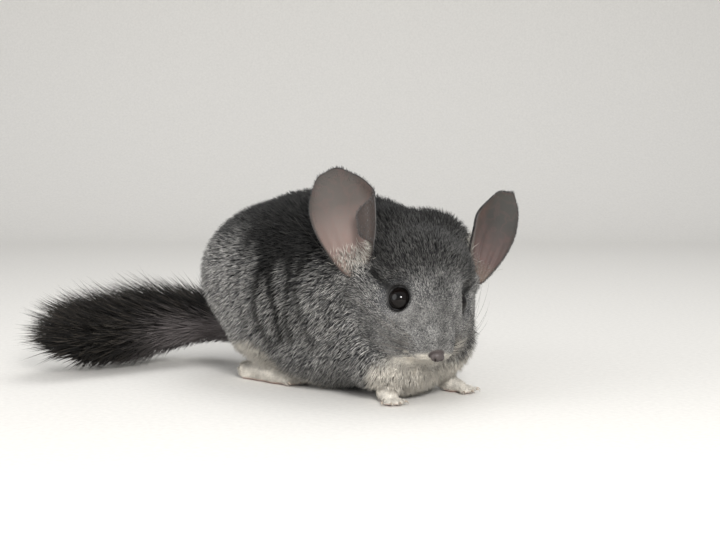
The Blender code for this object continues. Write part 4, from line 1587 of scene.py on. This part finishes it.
FUR = fur_material()
dress([skin], skin_material(), "grey_coat", *FLESH, *TAIL_NODES)
feet_coat = [piece for piece in coat if "feet" in piece.name]
dress([piece for piece in coat if piece not in feet_coat], FUR, "grey_coat")
dress(feet_coat, FUR, "pale_coat")
dress(tail, bristle_material(), "tail_bristles")
EYE_GLOSS = eye_material()
for side in SIDES:
    # Each ear gets its own copy of the ear skin: the right one lit, the left one with painted shade.
    ear_skin = ear_material("thin_ear_skin_" + side, EAR_INSIDES_LIT_AND_SHADED[side])
    dress([ears[side]], ear_skin, "ear_skin", "ear_" + side)
    dress([eyeballs[side]], EYE_GLOSS, "eye", "eye_" + side)
dress(ear_hair, FUR, "grey_coat")
dress([nose], nose_material(), "ear_skin")
dress([whiskers], horn_material("whisker_hair", "1b1918", "6b655e", 9 * MM, 0.4), "tail_bristles")
dress([claws], horn_material("claw_horn", "b9ac9d", "8f8377", 1.2 * MM, 0.35), "ear_skin")

# %% [markdown]
# ## Floor, light and camera
# A pale sweep of paper stands behind and under the animal, as in a small studio. The main light is
# large and near the camera, as in the photograph, where the highlight sits in the middle of the eye.

# %% The studio sweep
CAMERA_PLACE = Vector((0.5363, -0.5066, 0.1389))
CAMERA_FLAT = Vector((-0.7193, 0.6947, 0)).normalized()
CAMERA_PITCH = math.radians(5.71)
CAMERA_LENS = 65
CAMERA_SENSOR = 36


def build_sweep():
    profile = [(-2.2, 0.0), (1.0, 0.0)]
    bend = 0.35
    for step in range(1, 13):
        angle = math.pi / 2 * step / 12
        profile.append((1.0 + bend * math.sin(angle), bend * (1 - math.cos(angle))))
    profile.append((1.35, 2.6))
    points = []
    for back, high in profile:
        for aside in (-2.4, 2.4):
            place = CAMERA_FLAT * back + Vector((-CAMERA_FLAT.y, CAMERA_FLAT.x, 0)) * aside
            points.append((place.x, place.y, high - 0.0002))
    points = np.array(points)
    low = np.arange(len(profile) - 1) * 2
    faces = np.column_stack((low, low + 1, low + 3, low + 2))
    sweep = mesh_object("sweep", points, faces)
    return sweep


def paper_material():
    material, tree = new_tree("matt_paper")
    fibre = add_node(tree, "TexNoise", values={"Scale": 1 / (3 * MM), "Detail": 4.0},
                     links={0: add_node(tree, "TexCoord").outputs["Object"]})
    colour = add_node(tree, "ValToRGB", links={0: fibre.outputs[0]},
                      stops=((0.3, "d3d1cd"), (0.7, "dad8d4")))
    shader = add_node(tree, "BsdfPrincipled", values={"Roughness": 0.85},
                      links={"Base Color": colour.outputs[0]})
    finish_material(tree, shader)
    return material


sweep = build_sweep()
sweep.data.materials.append(paper_material())

# %% Camera
look = CAMERA_FLAT * math.cos(CAMERA_PITCH) - Vector((0, 0, math.sin(CAMERA_PITCH)))
lens = bpy.data.cameras.new("camera")
lens.lens = CAMERA_LENS
lens.sensor_width = CAMERA_SENSOR
camera = add_object("camera", lens)
camera.location = CAMERA_PLACE
camera.rotation_euler = look.to_track_quat("-Z", "Y").to_euler()
bpy.context.scene.camera = camera


# %% Lights
def softbox(name, place, size, watts, colour, aim=(0, 0, 0.05)):
    light = bpy.data.lights.new(name, "AREA")
    light.shape = "DISK"
    light.size = size
    light.energy = watts
    light.color = colour
    lamp = add_object(name, light)
    lamp.location = place
    way = Vector(aim) - Vector(place)
    lamp.rotation_euler = way.to_track_quat("-Z", "Y").to_euler()


softbox("key", (0.80, -0.50, 0.50), 0.28, 10, (1.0, 0.985, 0.96))
softbox("fill", (-0.35, -0.95, 0.40), 0.9, 5, (1.0, 0.99, 0.98))
softbox("top", (-0.15, 0.35, 1.1), 0.8, 4, (1.0, 1.0, 1.0))
world = bpy.data.worlds.new("soft_room")
world.use_nodes = True
room = world.node_tree.nodes["Background"]
room.inputs["Color"].default_value = (0.975, 0.985, 1.0, 1)
room.inputs["Strength"].default_value = 0.66
bpy.context.scene.world = world
bpy.context.scene.view_settings.view_transform = "Standard"
